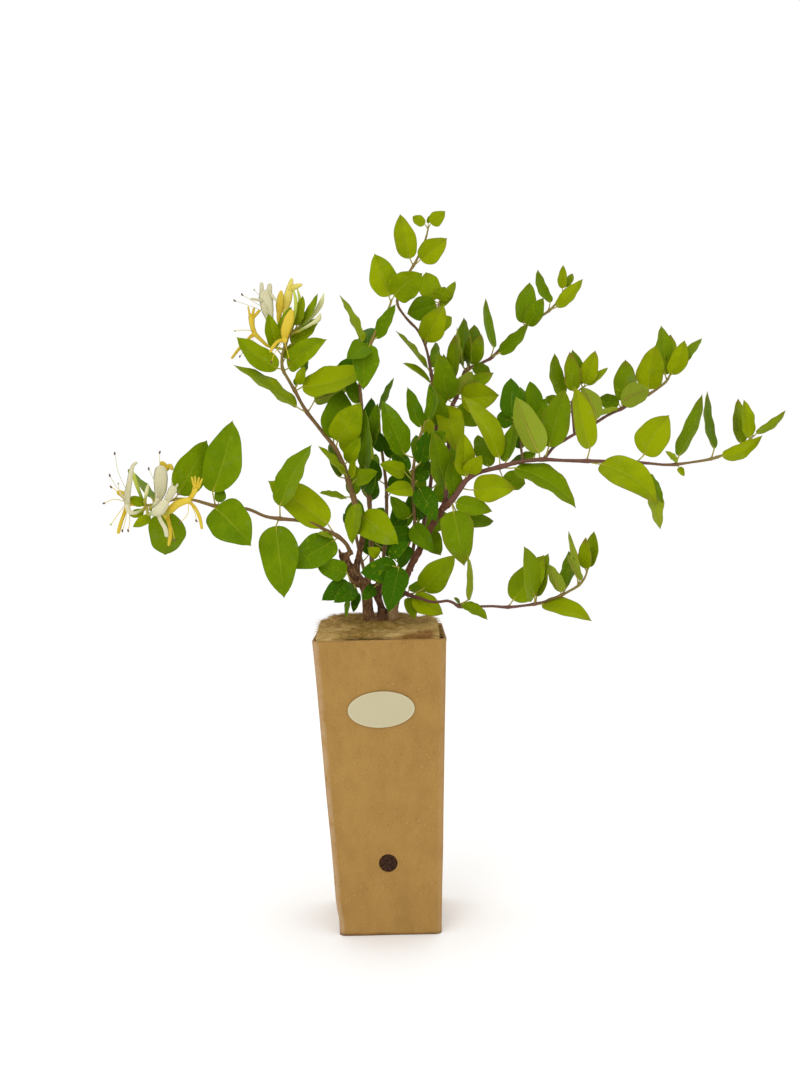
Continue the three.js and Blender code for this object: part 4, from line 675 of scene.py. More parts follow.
def fleeceMaterial():
    material, make = newMaterial("matted fleece")
    spot = make.objectPlace()
    across, depth, height = spot.part(0), spot.part(1), spot.part(2)
    tufts = make.noise(spot, 0.16, 4.0, 0.65)
    strands = make.noise(spot * (0.7, 1.4, 1.8), 0.7, 4.0, 0.7)
    middle = (1 - (across + 8).one("ABSOLUTE").ease(16.0, 38.0)) * tufts.ease(0.25, 0.6)
    colour = make.mix(strands.ease(0.35, 0.7), fleece["tan"], fleece["pale"])
    colour = make.mix(middle * 0.8, colour, fleece["mossAndHollowShade"])
    rise = height - across * 0.13  # a fold runs up to the right across the front
    front = (1 - depth.ease(-34.0, -22.0)) * across.ease(-2.0, 6.0)
    # Paler along the fold's crest: painted highlight.
    ridge = rise.ease(225.4, 226.4) * (1 - rise.ease(227.6, 229.0))
    colour = make.mix(front * ridge * 0.7, colour, fleece["pale"])
    # Darker below the fold, down at the rim: painted shade.
    under = (1 - rise.ease(224.6, 225.8)) * (1 - across.ease(34.0, 42.0))
    colour = make.mix(front * under * 0.8, colour, fleece["rustAndShade"])
    # A dark line low along the front: painted shadow in the gap between fleece and rim.
    gapShadow = (1 - height.ease(225.2, 226.6)) * across.ease(-32.0, -24.0) * (1 - across.ease(2.0, 8.0))
    colour = make.mix(gapShadow * 0.8, colour, fleece["gapShadow"])
    # Pale patches: pale fibres, and painted highlights on the broad soft folds.
    soft = make.noise(spot * (0.6, 1.0, 1.6), 0.07, 2.0).ease(0.5, 0.66)
    colour = make.mix(soft * 0.5, colour, fleece["pale"])
    # Darker, sunken patches: painted shade in the fleece's hollows.
    crease = make.noise(spot * (0.45, 1.2, 1.6), 0.2, 3.0).ease(0.54, 0.62)
    colour = make.mix(crease * 0.4, colour, fleece["mossAndHollowShade"])
    clump = 1 - ((across + 40) * 0.09).one("ABSOLUTE").ease(0.4, 1.0)
    clump = clump * height.ease(229.0, 233.0) * tufts.ease(0.4, 0.6)
    colour = make.mix(clump * 0.6, colour, fleece["rustAndShade"])
    finishMaterial(make, colour, strands * 0.1 + 0.86, 0.15, (strands + tufts - crease * 0.6, 0.8))
    return material


def fibreTree():
    make = newTree("loose fibres")
    sizes = dict.fromkeys(("Density", "Length", "Width", "Curl"), "Float")
    given = make.inputs({**sizes, "Seed": "Int", "Material": "Material"})
    whole, length, width, seed = given["Geometry"], given["Length"], given["Width"], given["Seed"]
    sizes = {"Radius Top": width * 0.4, "Radius Bottom": width, "Depth": length}
    strand = make.add("GeometryNodeMeshCone", values={"Vertices": 3, "Side Segments": 3, **sizes})
    share = make.add("GeometryNodeInputPosition").part(2) / length
    arch = share * (1 - share) * length * given["Curl"]
    sway = (share * 5.0).one("SINE") * length * 0.14
    strand = make.moved(strand, make.add("ShaderNodeCombineXYZ", values={"X": arch, "Y": sway}))
    top = make.named("top") > 0.5
    scatter = {"Mesh": whole, "Selection": top, "Density": given["Density"], "Seed": seed}
    turn = make.drawn((1.0, -0.6, 0.0), (1.75, 0.6, 6.3), seed)
    fibres = make.strewn(scatter, strand, make.drawn(0.4, 1.3, 5), turn)
    fibres = make.coated(fibres, given["Material"])
    return make.finish(make.joined(make.coated(whole, given["Material"]), fibres))


def makeFleece():
    cells, top = fleece["cells"], fleece["ballTop"]
    inset = carton["wall"] + fleece["edgeInset"]
    halves = [cartonSize(z) / 2 - inset for z in (top, carton["height"])]
    points, tops, faces = [], [], []

    def put(level, across, along):
        narrow = fleece["rightInset"] * across**4 if across > 0 else 0.0
        x = cartonMiddle(top) + halves[level] * across * (1 - fleece["square"] * along**8) - narrow
        y = halves[level] * along * (1 - fleece["square"] * across**8)
        z = top + fleece["underlap"]
        if level == 1:
            spot = Vector((x * 0.09, y * 0.09, 3.1))
            lump = noise.fractal(spot, 1.0, 2.0, 4) * fleece["lumps"]
            mat = noise.fractal(spot * 7, 1.0, 2.0, 3) * fleece["fineLumps"]
            past = (along - fleece["ridgePlace"] - fleece["ridgeSlant"] * across) / fleece["ridgeReach"]
            ridge = fleece["ridge"] * math.exp(-(past**2)) * max(0.0, min(1.0, across * 2 + 0.6))
            edge = min(1.0, 6 * (1 - max(abs(across), abs(along))) + 0.25)
            z = carton["height"] + fleeceRise(across, along) + (lump + mat) * edge + ridge * edge
        points.append((x, y, z))
        tops.append(float(level))

    for level in (0, 1):
        for j in range(cells + 1):
            for i in range(cells + 1):
                put(level, 2 * i / cells - 1, 2 * j / cells - 1)
    row, layer = cells + 1, (cells + 1) ** 2
    for j in range(cells):
        for i in range(cells):
            a = j * row + i
            faces.append((a, a + row, a + row + 1, a + 1))
            faces.append((layer + a, layer + a + 1, layer + a + row + 1, layer + a + row))
    border = list(range(cells)) + [j * row + cells for j in range(cells)]
    border += [cells * row + i for i in range(cells, 0, -1)] + [j * row for j in range(cells, 0, -1)]
    for a, b in zip(border, border[1:] + border[:1]):
        faces.append((a, b, layer + b, layer + a))
    piece = meshPiece("matted_fleece", points, faces, attributes={"top": tops})
    values = {
        "Density": fleece["fibreDensity"] * 1e6,
        "Length": fleece["fibreLength"] * mm,
        "Width": fleece["fibreWidth"] * mm,
        "Curl": fleece["fibreCurl"],
        "Seed": fleece["seed"],
        "Material": fleeceMaterial(),
    }
    growFrom(piece, fibreTree(), values)
    place(piece, "fleece", "mulch_fleece")


makeCarton()
makeLabel()
makeSoil()
makeFleece()
print("carton, label, soil and fleece made")


# Paths and blades of the plant. A place is given as seen from the stand point: x and z on the
# plane y = 0, then the depth y of the point itself on that line of sight, all in millimetres.
def seenAt(x, z, depth):
    reach = (depth - standPoint[1]) / -standPoint[1]
    return standPoint + (np.array([x, 0.0, z]) - standPoint) * reach


def unit(vector):
    return vector / np.linalg.norm(vector)


def towardViewer(place, along):  # square to along, and as near to facing the stand point as that allows
    view = unit(standPoint - place)
    return unit(view - along * (view @ along))


def curvePoint(places, share):  # centripetal curve through the places
    count = len(places)
    along = (count - 1) * share
    first = min(int(along), count - 2)
    weight = along - first
    b, c = places[first], places[first + 1]
    a = places[first - 1] if first > 0 else 2 * b - c
    d = places[first + 2] if first + 2 < count else 2 * c - b
    ab, bc, cd = (max(np.sum((q - p) ** 2), 1e-12) ** 0.25 for p, q in ((a, b), (b, c), (c, d)))
    start = ((b - a) / ab - (c - a) / (ab + bc) + (c - b) / bc) * bc
    end = ((c - b) / bc - (d - b) / (bc + cd) + (d - c) / cd) * bc
    square = (3 * (c - b) - 2 * start - end) * weight**2
    return b + start * weight + square + (2 * (b - c) + start + end) * weight**3


class Path:
    def __init__(self, places, radii):
        self.places = [np.asarray(p, float) for p in places]
        self.radii = radii
        self.shares = np.linspace(0, 1, 201)
        points = np.array([curvePoint(self.places, s) for s in self.shares])
        self.lengths = np.concatenate([[0], np.cumsum(np.linalg.norm(np.diff(points, axis=0), axis=1))])

    def at(self, share):  # point and radius at a share of the length
        along = np.interp(share * self.lengths[-1], self.lengths, self.shares)
        radius = np.interp(along * (len(self.radii) - 1), np.arange(len(self.radii)), self.radii)
        return curvePoint(self.places, along), radius

    def line(self, step):
        count = max(3, round(self.lengths[-1] / step) + 1)
        return [self.at(s) for s in np.linspace(0, 1, count)]


def seenPath(rows, thinnest=0.0, shift=0.0):
    places = [seenAt(x, z, depth + shift) for x, z, depth, _ in rows]
    return Path(places, [max(row[3], thinnest) for row in rows])


def packedRings(path):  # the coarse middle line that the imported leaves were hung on
    spans = np.linalg.norm(np.diff(np.array(path.places), axis=0), axis=1)
    steps = max(2, math.floor(spans.sum() / leaves["packedStep"] + 0.5))
    return np.array([path.at(i / steps)[0] for i in range(steps + 1)])


def nearestShare(place, a, b):  # how far along a to b the nearest point lies, and its distance
    share = np.clip((place - a) @ (b - a) / max((b - a) @ (b - a), 1e-9), 0, 1)
    return share, np.linalg.norm(a + (b - a) * share - place)


def nearestOn(rings, place, seen=None):  # the point on a line nearest a place, or nearest in the view
    best = None
    seen = rings if seen is None else seen
    for i in range(len(rings) - 1):
        share, away = nearestShare(place, seen[i], seen[i + 1])
        if best is None or away < best[0]:
            best = (away, rings[i] + (rings[i + 1] - rings[i]) * share)
    return best[1]


def nearestInView(rings, x, z):
    flat = [standPoint + (p - standPoint) * (-standPoint[1] / (p[1] - standPoint[1])) for p in rings]
    return nearestOn(rings, np.array([x, 0.0, z]), flat)


# Leaves: how a blade is laid between its stalk and its tip.
leaves = {
    "rows": 19,
    "columns": 9,
    "thickness": 0.34,
    "bow": 0.07,
    "fold": 0.22,
    "tuck": 0.11,
    "ripple": 0.07,
    "uneven": 0.05,
    "petiole": 0.62,
    "midrib": 0.42,
    "depthShare": 0.15,  # how far the base lies behind the stalk's foot, as a share of the tip's depth
    "fullest": 0.5,  # a blade's greatest width by its length
    "thinnest": 0.22,  # the least share of that width that a blade shows
    "baseRound": 0.45,
    "tipTaper": 0.75,
    "tipStretch": 1.035,
    "dripTip": 1.2,
    "depthShifts": (0, -5, 5, -10, 10, -16, 16, -24, 24, -32, 32),
    "turns": (0, 20, -20),
    "packedStep": 16,
    "packedLongLeaf": 50,
    "packedTinyLeaf": 24,
    "packedThickness": 0.7,
    "match": 0.01,
    "missed": 0.05,
}
widest = leaves["baseRound"] / (leaves["baseRound"] + leaves["tipTaper"])  # where a blade is widest


def ovate(t):
    return (t / widest) ** leaves["baseRound"] * ((1 - t) / (1 - widest)) ** leaves["tipTaper"]


def layBlade(row, rings, shift, turn):
    atX, atZ, baseX, baseZ, tipX, tipZ, shownWidth, tipDepth, face, tone = row[:10]
    curve = row[10] if len(row) > 10 else 0.0
    stalk = nearestInView(rings, atX, atZ)
    depth = stalk[1] + leaves["depthShare"] * (tipDepth + shift)
    base = seenAt(baseX, baseZ, depth)
    tip = seenAt(tipX, tipZ, depth + tipDepth + shift)
    length = np.linalg.norm(tip - base)
    along = (tip - base) / length
    middle = (base + tip) / 2
    facing = towardViewer(middle, along)
    sideways = np.cross(along, facing)
    width = shownWidth * (middle[1] - standPoint[1]) / -standPoint[1]
    fullest = leaves["fullest"] * length
    share = 1.0 if width >= fullest else max(width / fullest, leaves["thinnest"])
    roll = math.acos(share) + math.radians(turn)
    uphill = 1 if sideways[2] >= 0 else -1
    normal = facing * face * math.cos(roll) + sideways * uphill * math.sin(roll)
    return {
        "stalk": stalk,
        "base": base,
        "tip": tip,
        "along": along,
        "normal": normal,
        "side": np.cross(along, normal),
        "sideways": sideways,
        "length": length,
        "half": width / share / 2,
        "curve": curve,
        "slant": float(normal @ sideways),
        "tone": tone,
    }


def bladePoint(blade, t, q):
    half = blade["half"] * ovate(t)
    bow = 4 * t * (1 - t) * blade["length"]
    lift = leaves["bow"] * bow
    drift = blade["curve"] * bow - blade["slant"] * (lift + leaves["tuck"] * half)
    point = blade["base"] + blade["along"] * (blade["length"] * t) + blade["side"] * (q * half)
    return point + blade["normal"] * (lift + leaves["fold"] * abs(q) * half) + blade["sideways"] * drift


def findBlade(row, rings, corners):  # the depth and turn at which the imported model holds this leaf
    best = None
    thin = leaves["packedThickness"] / 2
    for shift in leaves["depthShifts"]:
        for turn in leaves["turns"]:
            blade = layBlade(row, rings, shift, turn)
            shares = (0.14, 0.42, 0.75) if blade["length"] > leaves["packedLongLeaf"] else (0.2, 0.62)
            shares = (0.38,) if blade["length"] < leaves["packedTinyLeaf"] else shares
            spots = [blade["tip"]] + [bladePoint(blade, t, q) for t in shares for q in (-1, 1)]
            gaps = [corners.find(s + blade["normal"] * n)[2] for s in spots for n in (-thin, thin)]
            miss = float(np.median(gaps))
            if best is None or miss < best[0]:
                best = (miss, blade)
            if miss < leaves["match"]:
                return best
    return best


def packedCorners(name):
    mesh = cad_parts[name].data
    tree = KDTree(len(mesh.vertices))
    for i, vertex in enumerate(mesh.vertices):
        tree.insert(vertex.co / mm, i)
    tree.balance()
    return tree


# One mesh of lines, points and faces for a plant piece, filled a path or a leaf at a time.
class Sketch:
    def __init__(self, names, vectors=()):
        self.points, self.edges, self.faces = [], [], []
        self.values = {name: [] for name in (*names, *vectors)}
        self.blanks = {**dict.fromkeys(names, 0.0), **dict.fromkeys(vectors, (0.0, 0.0, 0.0))}

    def put(self, point, **given):
        self.points.append(point)
        for name, values in self.values.items():
            values.append(given.get(name, self.blanks[name]))
        return len(self.points) - 1

    def line(self, points, girths, **given):
        for i, (point, girth) in enumerate(zip(points, girths)):
            each = {name: value[i] if isinstance(value, list) else value for name, value in given.items()}
            index = self.put(point, role=1.0, girth=girth * mm, **each)
            if i > 0:
                self.edges.append((index - 1, index))

    def piece(self, name):
        return meshPiece(name, self.points, self.faces, self.edges, self.values)


def tubeParts(make, given):  # round tubes along the lines of the geometry
    role, girth = make.named("role"), make.named("girth")
    chosen = {"Mesh": given["Geometry"], "Selection": (role > 0.5) * (role < 1.5)}
    lines = make.add("GeometryNodeMeshToCurve", values=chosen)
    circle = {"Resolution": given["Sides"], "Radius": 1.0}
    profile = make.add("GeometryNodeCurvePrimitiveCircle", values=circle)
    values = {"Curve": lines, "Profile Curve": profile, "Scale": girth, "Fill Caps": True}
    tubes = make.add("GeometryNodeCurveToMesh", values=values)
    rough = make.noise(make.add("GeometryNodeInputPosition"), 700.0, 2.0) - 0.5
    tubes = make.moved(tubes, make.add("GeometryNodeInputNormal") * (rough * girth * given["Roughness"]))
    return make.smoothed(tubes)


def bladeGrid(make, given):  # a flat grid for each leaf point, with its shares across and along
    spot = make.add("GeometryNodeInputPosition")
    sizes = {"Size X": 2.0, "Size Y": 1.0, "Vertices X": given["Columns"], "Vertices Y": given["Rows"]}
    grid = make.add("GeometryNodeMeshGrid", values=sizes)
    even = 0.5 - ((spot.part(1) + 0.5) * math.pi).one("COSINE") * 0.5
    reach = (even * 0.75 + (spot.part(1) + 0.5) * 0.25) * 0.994 + 0.003
    grid = make.store(grid, "across", spot.part(0))
    grid = make.store(grid, "reach", reach)
    values = {"Points": given["Geometry"], "Selection": make.named("role") > 1.5, "Instance": grid}
    blades = make.add("GeometryNodeInstanceOnPoints", values=values)
    return make.add("GeometryNodeRealizeInstances", values={"Geometry": blades})


def bladePlace(make, given):  # where each point of the grid goes on its blade
    q, t = make.named("across"), make.named("reach")
    size, form = make.named("size", "FLOAT_VECTOR"), make.named("form", "FLOAT_VECTOR")
    length, halfWidth, slant = size.part(0), size.part(1), size.part(2)
    curve, seed = form.part(0), form.part(1)
    rest = (1 - t).one("ABSOLUTE")
    wave = ((t * 3.0 + seed) * (2 * math.pi)).one("SINE") * ((seed * 40.0).one("SINE") * 0.5 + 0.7)
    late = (t * leaves["tipStretch"]).combine("MINIMUM", 1.0)
    outline = (late * (1 / widest)) ** leaves["baseRound"]
    outline = outline * ((1 - late) * (1 / (1 - widest))) ** leaves["tipTaper"]
    uneven = ((t * 1.7 + seed * 7.0 + (q > 0) * 0.37) * (2 * math.pi)).one("SINE") * leaves["uneven"] + 1.0
    half = halfWidth * outline.combine("MAXIMUM", rest * (t > 0.5) * leaves["dripTip"]) * uneven
    edge = q.one("ABSOLUTE")
    bow = t * rest * length * 4.0
    lift = bow * leaves["bow"]
    flutter = half * (edge**3.0) * wave * given["Ripple"]
    vein = ((t - edge * 0.34) * 40.0 + (q > 0) * 1.4).one("SINE") * half * (edge * (1 - edge)) * 0.03
    moves = {
        "along": length * t,
        "upward": lift + edge * half * leaves["fold"] + flutter + vein,
        "sideOf": q * half,
        "sideways": curve * bow - slant * (lift + half * leaves["tuck"]),
    }
    place = make.named("base", "FLOAT_VECTOR")
    for name, move in moves.items():
        place = place + make.named(name, "FLOAT_VECTOR") * move
    return place


def bladeParts(make, given):  # a thin shell for each leaf point
    values = {"Geometry": bladeGrid(make, given), "Position": bladePlace(make, given)}
    upper = make.add("GeometryNodeSetPosition", values=values)
    lower = make.add("GeometryNodeFlipFaces", values={"Mesh": upper})
    values = {"Mesh": lower, "Offset Scale": given["Thickness"], "Individual": False}
    lower = make.add("GeometryNodeExtrudeMesh", values=values)
    upper = make.store(upper, "underside", 0.0, domain="FACE")
    lower = make.store(lower, "underside", 1.0, domain="FACE")
    values = {"Geometry": make.joined(upper, lower), "Distance": 0.001 * mm}
    shell = make.smoothed(make.add("GeometryNodeMergeByDistance", values=values))
    sharp = make.add("GeometryNodeInputMeshEdgeAngle") > 0.9
    values = {"Geometry": shell, "Selection": sharp, "Shade Smooth": False}
    return make.add("GeometryNodeSetShadeSmooth", {"domain": "EDGE"}, values)


def hairParts(make, given, tubes):  # fine hairs that stand on the young stems
    sizes = {"Radius Top": 0.012 * mm, "Radius Bottom": 0.04 * mm, "Depth": given["Hair Length"]}
    hair = make.add("GeometryNodeMeshCone", values={"Vertices": 3, **sizes})
    hairy = make.named("hairy") > 0.5
    scatter = {"Mesh": tubes, "Selection": hairy, "Density": given["Hair Density"], "Seed": given["Seed"]}
    return make.strewn(scatter, hair, make.drawn(0.5, 1.3, 3))


def leafyStemTree():
    make = newTree("leafy stem")
    counts = dict.fromkeys(("Rows", "Columns", "Sides", "Seed"), "Int")
    sizes = dict.fromkeys(("Thickness", "Ripple", "Roughness", "Hair Density", "Hair Length"), "Float")
    given = make.inputs({**counts, **sizes, "Blade": "Material", "Stem": "Material"})
    tubes = tubeParts(make, given)
    shoots = make.coated(make.joined(tubes, hairParts(make, given, tubes)), given["Stem"])
    return make.finish(make.joined(make.coated(bladeParts(make, given), given["Blade"]), shoots))


def tubeTree():  # tubes for flowers and wood, with any faces of the piece kept
    make = newTree("tubes")
    given = make.inputs({"Sides": "Int", "Roughness": "Float", "Material": "Material"})
    lines = {"Geometry": given["Geometry"], "Selection": make.named("role") > 0.5}
    kept = make.add("GeometryNodeDeleteGeometry", {"domain": "POINT"}, lines)
    return make.finish(make.coated(make.joined(kept, tubeParts(make, given)), given["Material"]))


# Leafy stems. A route is [x, z, depth, radius]. A leaf is [x, z] where its stalk leaves the stem,
# [x, z] of the blade's base and of its tip, the width it shows, the tip's depth behind its base, the
# face it shows (1 upper, -1 under), its tone (0 shaded, 1 mid, 2 bright, 3 pale, 4 reddish young) and
# for some a sideways bend as a share of its length. Forks are side shoots of the same stem.
# Tones 0 to 2 hold the leaves' own greens, with painted shade on inner leaves and painted light on outer
# ones.
growth = {}
growth["leafy_stem_left"] = {
    "route": [
        [-25.4, 288.6, -5, 1.7], [-28, 294, -8, 1.6], [-34, 300, -11, 1.7], [-45, 306, -14, 1.4],
        [-55, 311, -17, 1.4], [-66, 313.5, -20, 1.3], [-79, 315, -24, 1.5], [-90, 317, -27, 1.2],
        [-104, 323, -31, 1.2], [-129, 326, -38, 1.4], [-146, 331, -42, 1.1], [-160, 332, -45, 1.1],
        [-172, 329, -47, 1.1], [-183, 327.5, -48, 1.3],
    ],
    "leaves": [
        [-129, 326, -131, 337, -114, 392.5, 29, 6, 1, 1, 0.03],
        [-161, 331.5, -158, 336, -134, 377.5, 27, 12, 1, 1, 0.02],
        [-129, 326, -129.5, 324.5, -102, 294, 33, -14, 1, 1, -0.03],
        [-127, 326, -126.5, 329, -123.5, 340, 9, 6, 1, 0],
        [-171, 329, -168, 323, -169.5, 288.5, 28, 10, 1, 1, -0.03],
        [-178, 328, -180, 319, -194, 311, 8, -6, 1, 2], [-174, 329, -179, 334, -194, 355.5, 15, 16, 1, 1],
        [-180, 328, -184, 329, -197, 334, 8, 4, 1, 2], [-182, 327.5, -185, 323, -196, 320, 7, 3, 1, 2],
        [-79, 315, -79, 325, -53, 372, 18, 8, 1, 1, -0.06],
        [-80, 315, -82.5, 309.5, -77.5, 252.5, 30, -12, 1, 1],
        [-34, 300, -42, 310, -88, 345, 26, -8, 1, 2, 0.02],
        [-34, 300, -37, 297.5, -75, 276.5, 25, -16, 1, 0], [-36, 301, -39, 301, -50, 303, 4.5, -8, 1, 3],
    ],
}
growth["leafy_stem_upper_left"] = {
    "route": [
        [-14.6, 305.6, -2, 2], [-18, 317, 1, 2.1], [-21.5, 330, 4, 2.3], [-24.5, 341, 7, 2.3],
        [-29, 356, 11, 1.9], [-35, 369, 14, 1.8], [-44, 381, 18, 1.6], [-50, 389, 20, 1.5],
        [-56, 397, 22, 1.7], [-60, 404, 23, 1.3], [-65, 414, 25, 1.5], [-70, 423, 27, 1.2],
        [-74, 431, 28, 1.4], [-74, 441, 29, 1.1], [-71, 450, 30, 1.3], [-69, 457, 30, 1.6],
    ],
    "leaves": [
        [-56, 397, -64, 401.5, -112, 435, 10, -10, 1, 2, 0.03],
        [-56, 397, -50, 406, -16, 422, 14, 10, -1, 1], [-65, 414, -59, 417, -5, 430.5, 12, -8, 1, 2, 0.03],
        [-65, 415, -64, 418, -54, 437.5, 6, 8, 1, 0], [-65, 415, -62.5, 419, -57, 433, 8, -8, 1, 2],
        [-74, 431, -78, 431.5, -109, 456.5, 13, -10, 1, 1, -0.05],
        [-73, 430, -69.5, 431.5, -39, 453, 17, -12, 1, 1, -0.08],
        [-74, 441, -79, 448, -84, 474, 12, 8, 1, 1], [-70, 453, -62, 464, -57, 487, 8, 4, 1, 2],
        [-70, 454, -60, 464, -45.5, 488.5, 10, 14, 1, 1, 0.06], [-71, 447, -66, 450, -45, 470, 14, 8, 1, 1],
        [-74, 437, -72, 439, -57, 456, 10, 6, 1, 2], [-72, 448, -75, 457, -66, 479, 11, 14, 1, 1],
        [-25, 343, -27, 349, -48, 371, 5.5, -18, 1, 2], [-22, 331, -28, 331, -48, 334.5, 5, -18, 1, 1],
        [-35, 369, -36, 376, -28, 414, 24, 12, 1, 0], [-34, 368, -33, 374, -14, 404, 24, -14, 1, 2],
        [-29, 355, -26, 358, -15, 377, 12, -14, 1, 1], [-26, 345, -33, 347, -39, 373, 8, 14, 1, 0],
        [-20, 325, -20.5, 325, -23.5, 293.5, 12.5, -16, 1, 1], [-18, 317, -15, 316, 13, 293, 25, -22, 1, 1],
        [-24, 340, -20, 344, -2, 350, 13, -18, 1, 1], [-25, 343, -23, 346, -20, 361, 8, -10, 1, 2],
    ],
}
growth["leafy_stem_middle"] = {
    "route": [
        [-8.3, 271.5, 6, 1.9], [-8.5, 290, 8, 1.9], [-9, 320, 10, 1.8], [-11, 350, 12, 1.7],
        [-13, 380, 14, 1.6], [-14, 405, 15, 1.5], [-14.5, 416, 15, 1.4], [-13, 428, 15, 1.4],
        [-9, 441, 16, 1.4], [-7, 445, 16, 1.6], [-4, 452, 16, 1.3], [0, 460, 17, 1.2], [5, 468, 17, 1.2],
        [9, 475, 18, 1.1], [11.5, 482, 18, 1.2],
    ],
    "leaves": [
        [11, 481, 9.5, 485, -1, 518, 22, -8, 1, 2, 0.02],
        [11.5, 482, 13.5, 485, 36, 502, 25, -10, 1, 2, -0.05],
        [-8, 443, -9, 448, -24.5, 437.5, 16, -26, 1, 1], [-7, 445, -6, 448, -12, 413, 22, -18, 1, 1, 0.05],
        [-8, 443, -12, 451, -28.5, 487, 6, 10, 1, 2, 0.03], [-7, 445, -8, 448, -7.5, 460.5, 14, 26, 1, 0],
        [-4, 452, -1, 453, 14.5, 479, 6, -6, 1, 1], [-9, 441, -12, 440, -38.5, 425.5, 14, 12, 1, 0, -0.09],
        [-13, 372, -9, 376, -6, 407.5, 13, 14, 1, 0], [-14, 402, -17, 403, -22.5, 424, 12, 8, 1, 1],
        [-12, 366, -8, 370, -1, 403, 11, -2, 1, 1], [-11, 345, -12, 352, -11, 398, 12, -8, 1, 1],
        [-10, 330, -14, 336, -4, 349, 15, -16, 1, 0], [-9, 325, -7, 328, -10, 350, 14, 18, 1, 0],
        [-8, 300, -14, 303, -30, 318, 12, 14, 1, 0],
    ],
}
growth["leafy_stem_top"] = {
    "route": [
        [29.5, 292.5, 6, 1.7], [33, 310, 14, 1.6], [38, 335, 24, 1.5], [41, 360, 32, 1.5],
        [44, 385, 38, 1.4], [43, 400, 40, 1.4], [42.5, 412, 42, 1.3], [41, 424, 44, 1.4],
        [38.5, 440, 46, 1.1], [35.5, 450, 47, 1.1], [30, 460, 48, 1], [26.5, 463.5, 48, 1.2],
        [21, 470, 49, 1], [16, 479, 50, 1.2], [18, 490, 50, 1], [24, 501, 50, 1], [29, 508, 50, 1.1],
        [36, 521, 50, 0.9], [40, 532, 50, 0.9], [41, 537, 50, 1],
    ],
    "leaves": [
        [41, 536, 38.5, 539.5, 29, 545.5, 8, 6, 1, 2], [41, 536, 43, 540, 54.5, 549, 11, -6, 1, 2],
        [41, 536.5, 41, 540, 42, 546, 3, -2, 1, 1], [29, 508, 26.5, 513.5, 19.5, 548, 17, -6, 1, 2, -0.02],
        [29, 508, 34.5, 512.5, 55.5, 528.5, 18, -8, 1, 2],
        [41, 424, 38.5, 429, 14, 458.5, 9.5, -10, 1, 1, 0.03],
        [42.5, 417, 40, 419, 19, 433.5, 5, -14, 1, 1, 0.05], [41, 425, 44, 430, 44.5, 449, 8, 14, 1, 0],
        [42, 395, 47, 398, 51, 440, 16, 12, 1, 1], [40, 350, 34, 354, 28, 378, 14, 16, 1, 0],
        [38, 335, 44, 340, 62, 352, 16, 22, 1, 0], [31, 300, 34, 302, 45.5, 283.5, 17, -6, 1, 0],
    ],
    "forks": [
        {
            "route": [
                [36.5, 446.5, 46.5, 0.9], [42, 458, 44, 0.9], [46, 470, 43, 0.9], [48.5, 480, 43, 0.9],
            ],
            "leaves": [
                [47.5, 477, 46, 478, 23, 471, 19, 8, 1, 0], [47, 473, 50, 476, 61, 495.5, 8.5, 5, 1, 1],
                [48, 479, 44, 481, 38.5, 503, 17, 8, 1, 1], [48.5, 480, 49, 481, 53, 491.5, 14, 20, 1, 1],
                [37, 447, 37, 450, 52, 478, 20, -14, 1, 2], [41, 456, 43, 458, 58, 468, 12, 10, 1, 1],
            ],
        },
    ],
}
growth["leafy_stem_upper_right"] = {
    "route": [
        [50.2, 327.5, -1, 1.8], [51.5, 345, 8, 1.6], [53, 365, 20, 1.5], [54, 385, 30, 1.5],
        [56, 398, 38, 1.5], [60, 406, 42, 1.8], [64, 418, 48, 1.4], [68, 427, 52, 1.6], [76, 430, 56, 1.3],
        [82, 433, 60, 1.2], [88, 436, 64, 1.4], [95, 443, 66, 1], [105, 453, 68, 1], [115, 460, 70, 1.2],
        [123, 465, 72, 1], [133, 471, 74, 1.1], [138, 476, 75, 0.9], [142, 481, 76, 0.9],
        [144.5, 486, 77, 1],
    ],
    "leaves": [
        [144, 485, 143.5, 488, 144.5, 506, 7, -3, 1, 2], [144.5, 486, 146.5, 489, 151.5, 499.5, 6, 6, 1, 4],
        [133, 471, 139, 474, 159.5, 495, 10, -8, 1, 2, 0.03],
        [133, 471, 134, 477.5, 125, 503, 8, 4, 1, 1, -0.08],
        [117, 461, 116.5, 460, 129, 481.5, 13, -8, 1, 1], [115, 460, 113, 462, 118.5, 493.5, 13.5, 5, 1, 1],
        [88, 436, 94, 439.5, 117, 462, 10.5, -12, 1, 1, 0.06],
        [88, 436, 89.8, 444, 84.5, 482, 7, 3, 1, 1, -0.05], [67, 426, 65, 432, 67, 467.5, 12, 10, 1, 0],
        [67, 426, 65.5, 430, 61.5, 460, 6, -6, 1, 2], [69, 428, 71, 433, 75, 462, 14, 16, 1, 0],
        [71, 429, 73, 431, 80.5, 454.5, 12, -3, 1, 4], [68, 427, 69, 431, 72, 453, 10, -10, 1, 4],
        [62, 413, 57, 420, 60, 455, 15, -4, 1, 4], [60, 406, 60, 408.5, 73, 426, 12, -16, -1, 3],
        [61, 410, 66, 412, 89.5, 424.5, 12, -4, 1, 4], [67, 426, 73, 429, 87, 425, 10, 10, 1, 0],
        [60, 406, 64, 404.5, 93.5, 407, 24, -14, 1, 2], [58, 402, 54, 404, 47, 441, 16, 2, 1, 1],
        [56, 398, 52, 400, 60, 362, 21, -26, 1, 2], [57, 400, 61, 399, 78, 384, 18, 8, 1, 1],
        [54, 380, 48, 384, 44, 412, 14, -10, 1, 1], [50.6, 333, 50.5, 338, 41, 381, 18, -14, 1, 1],
    ],
}
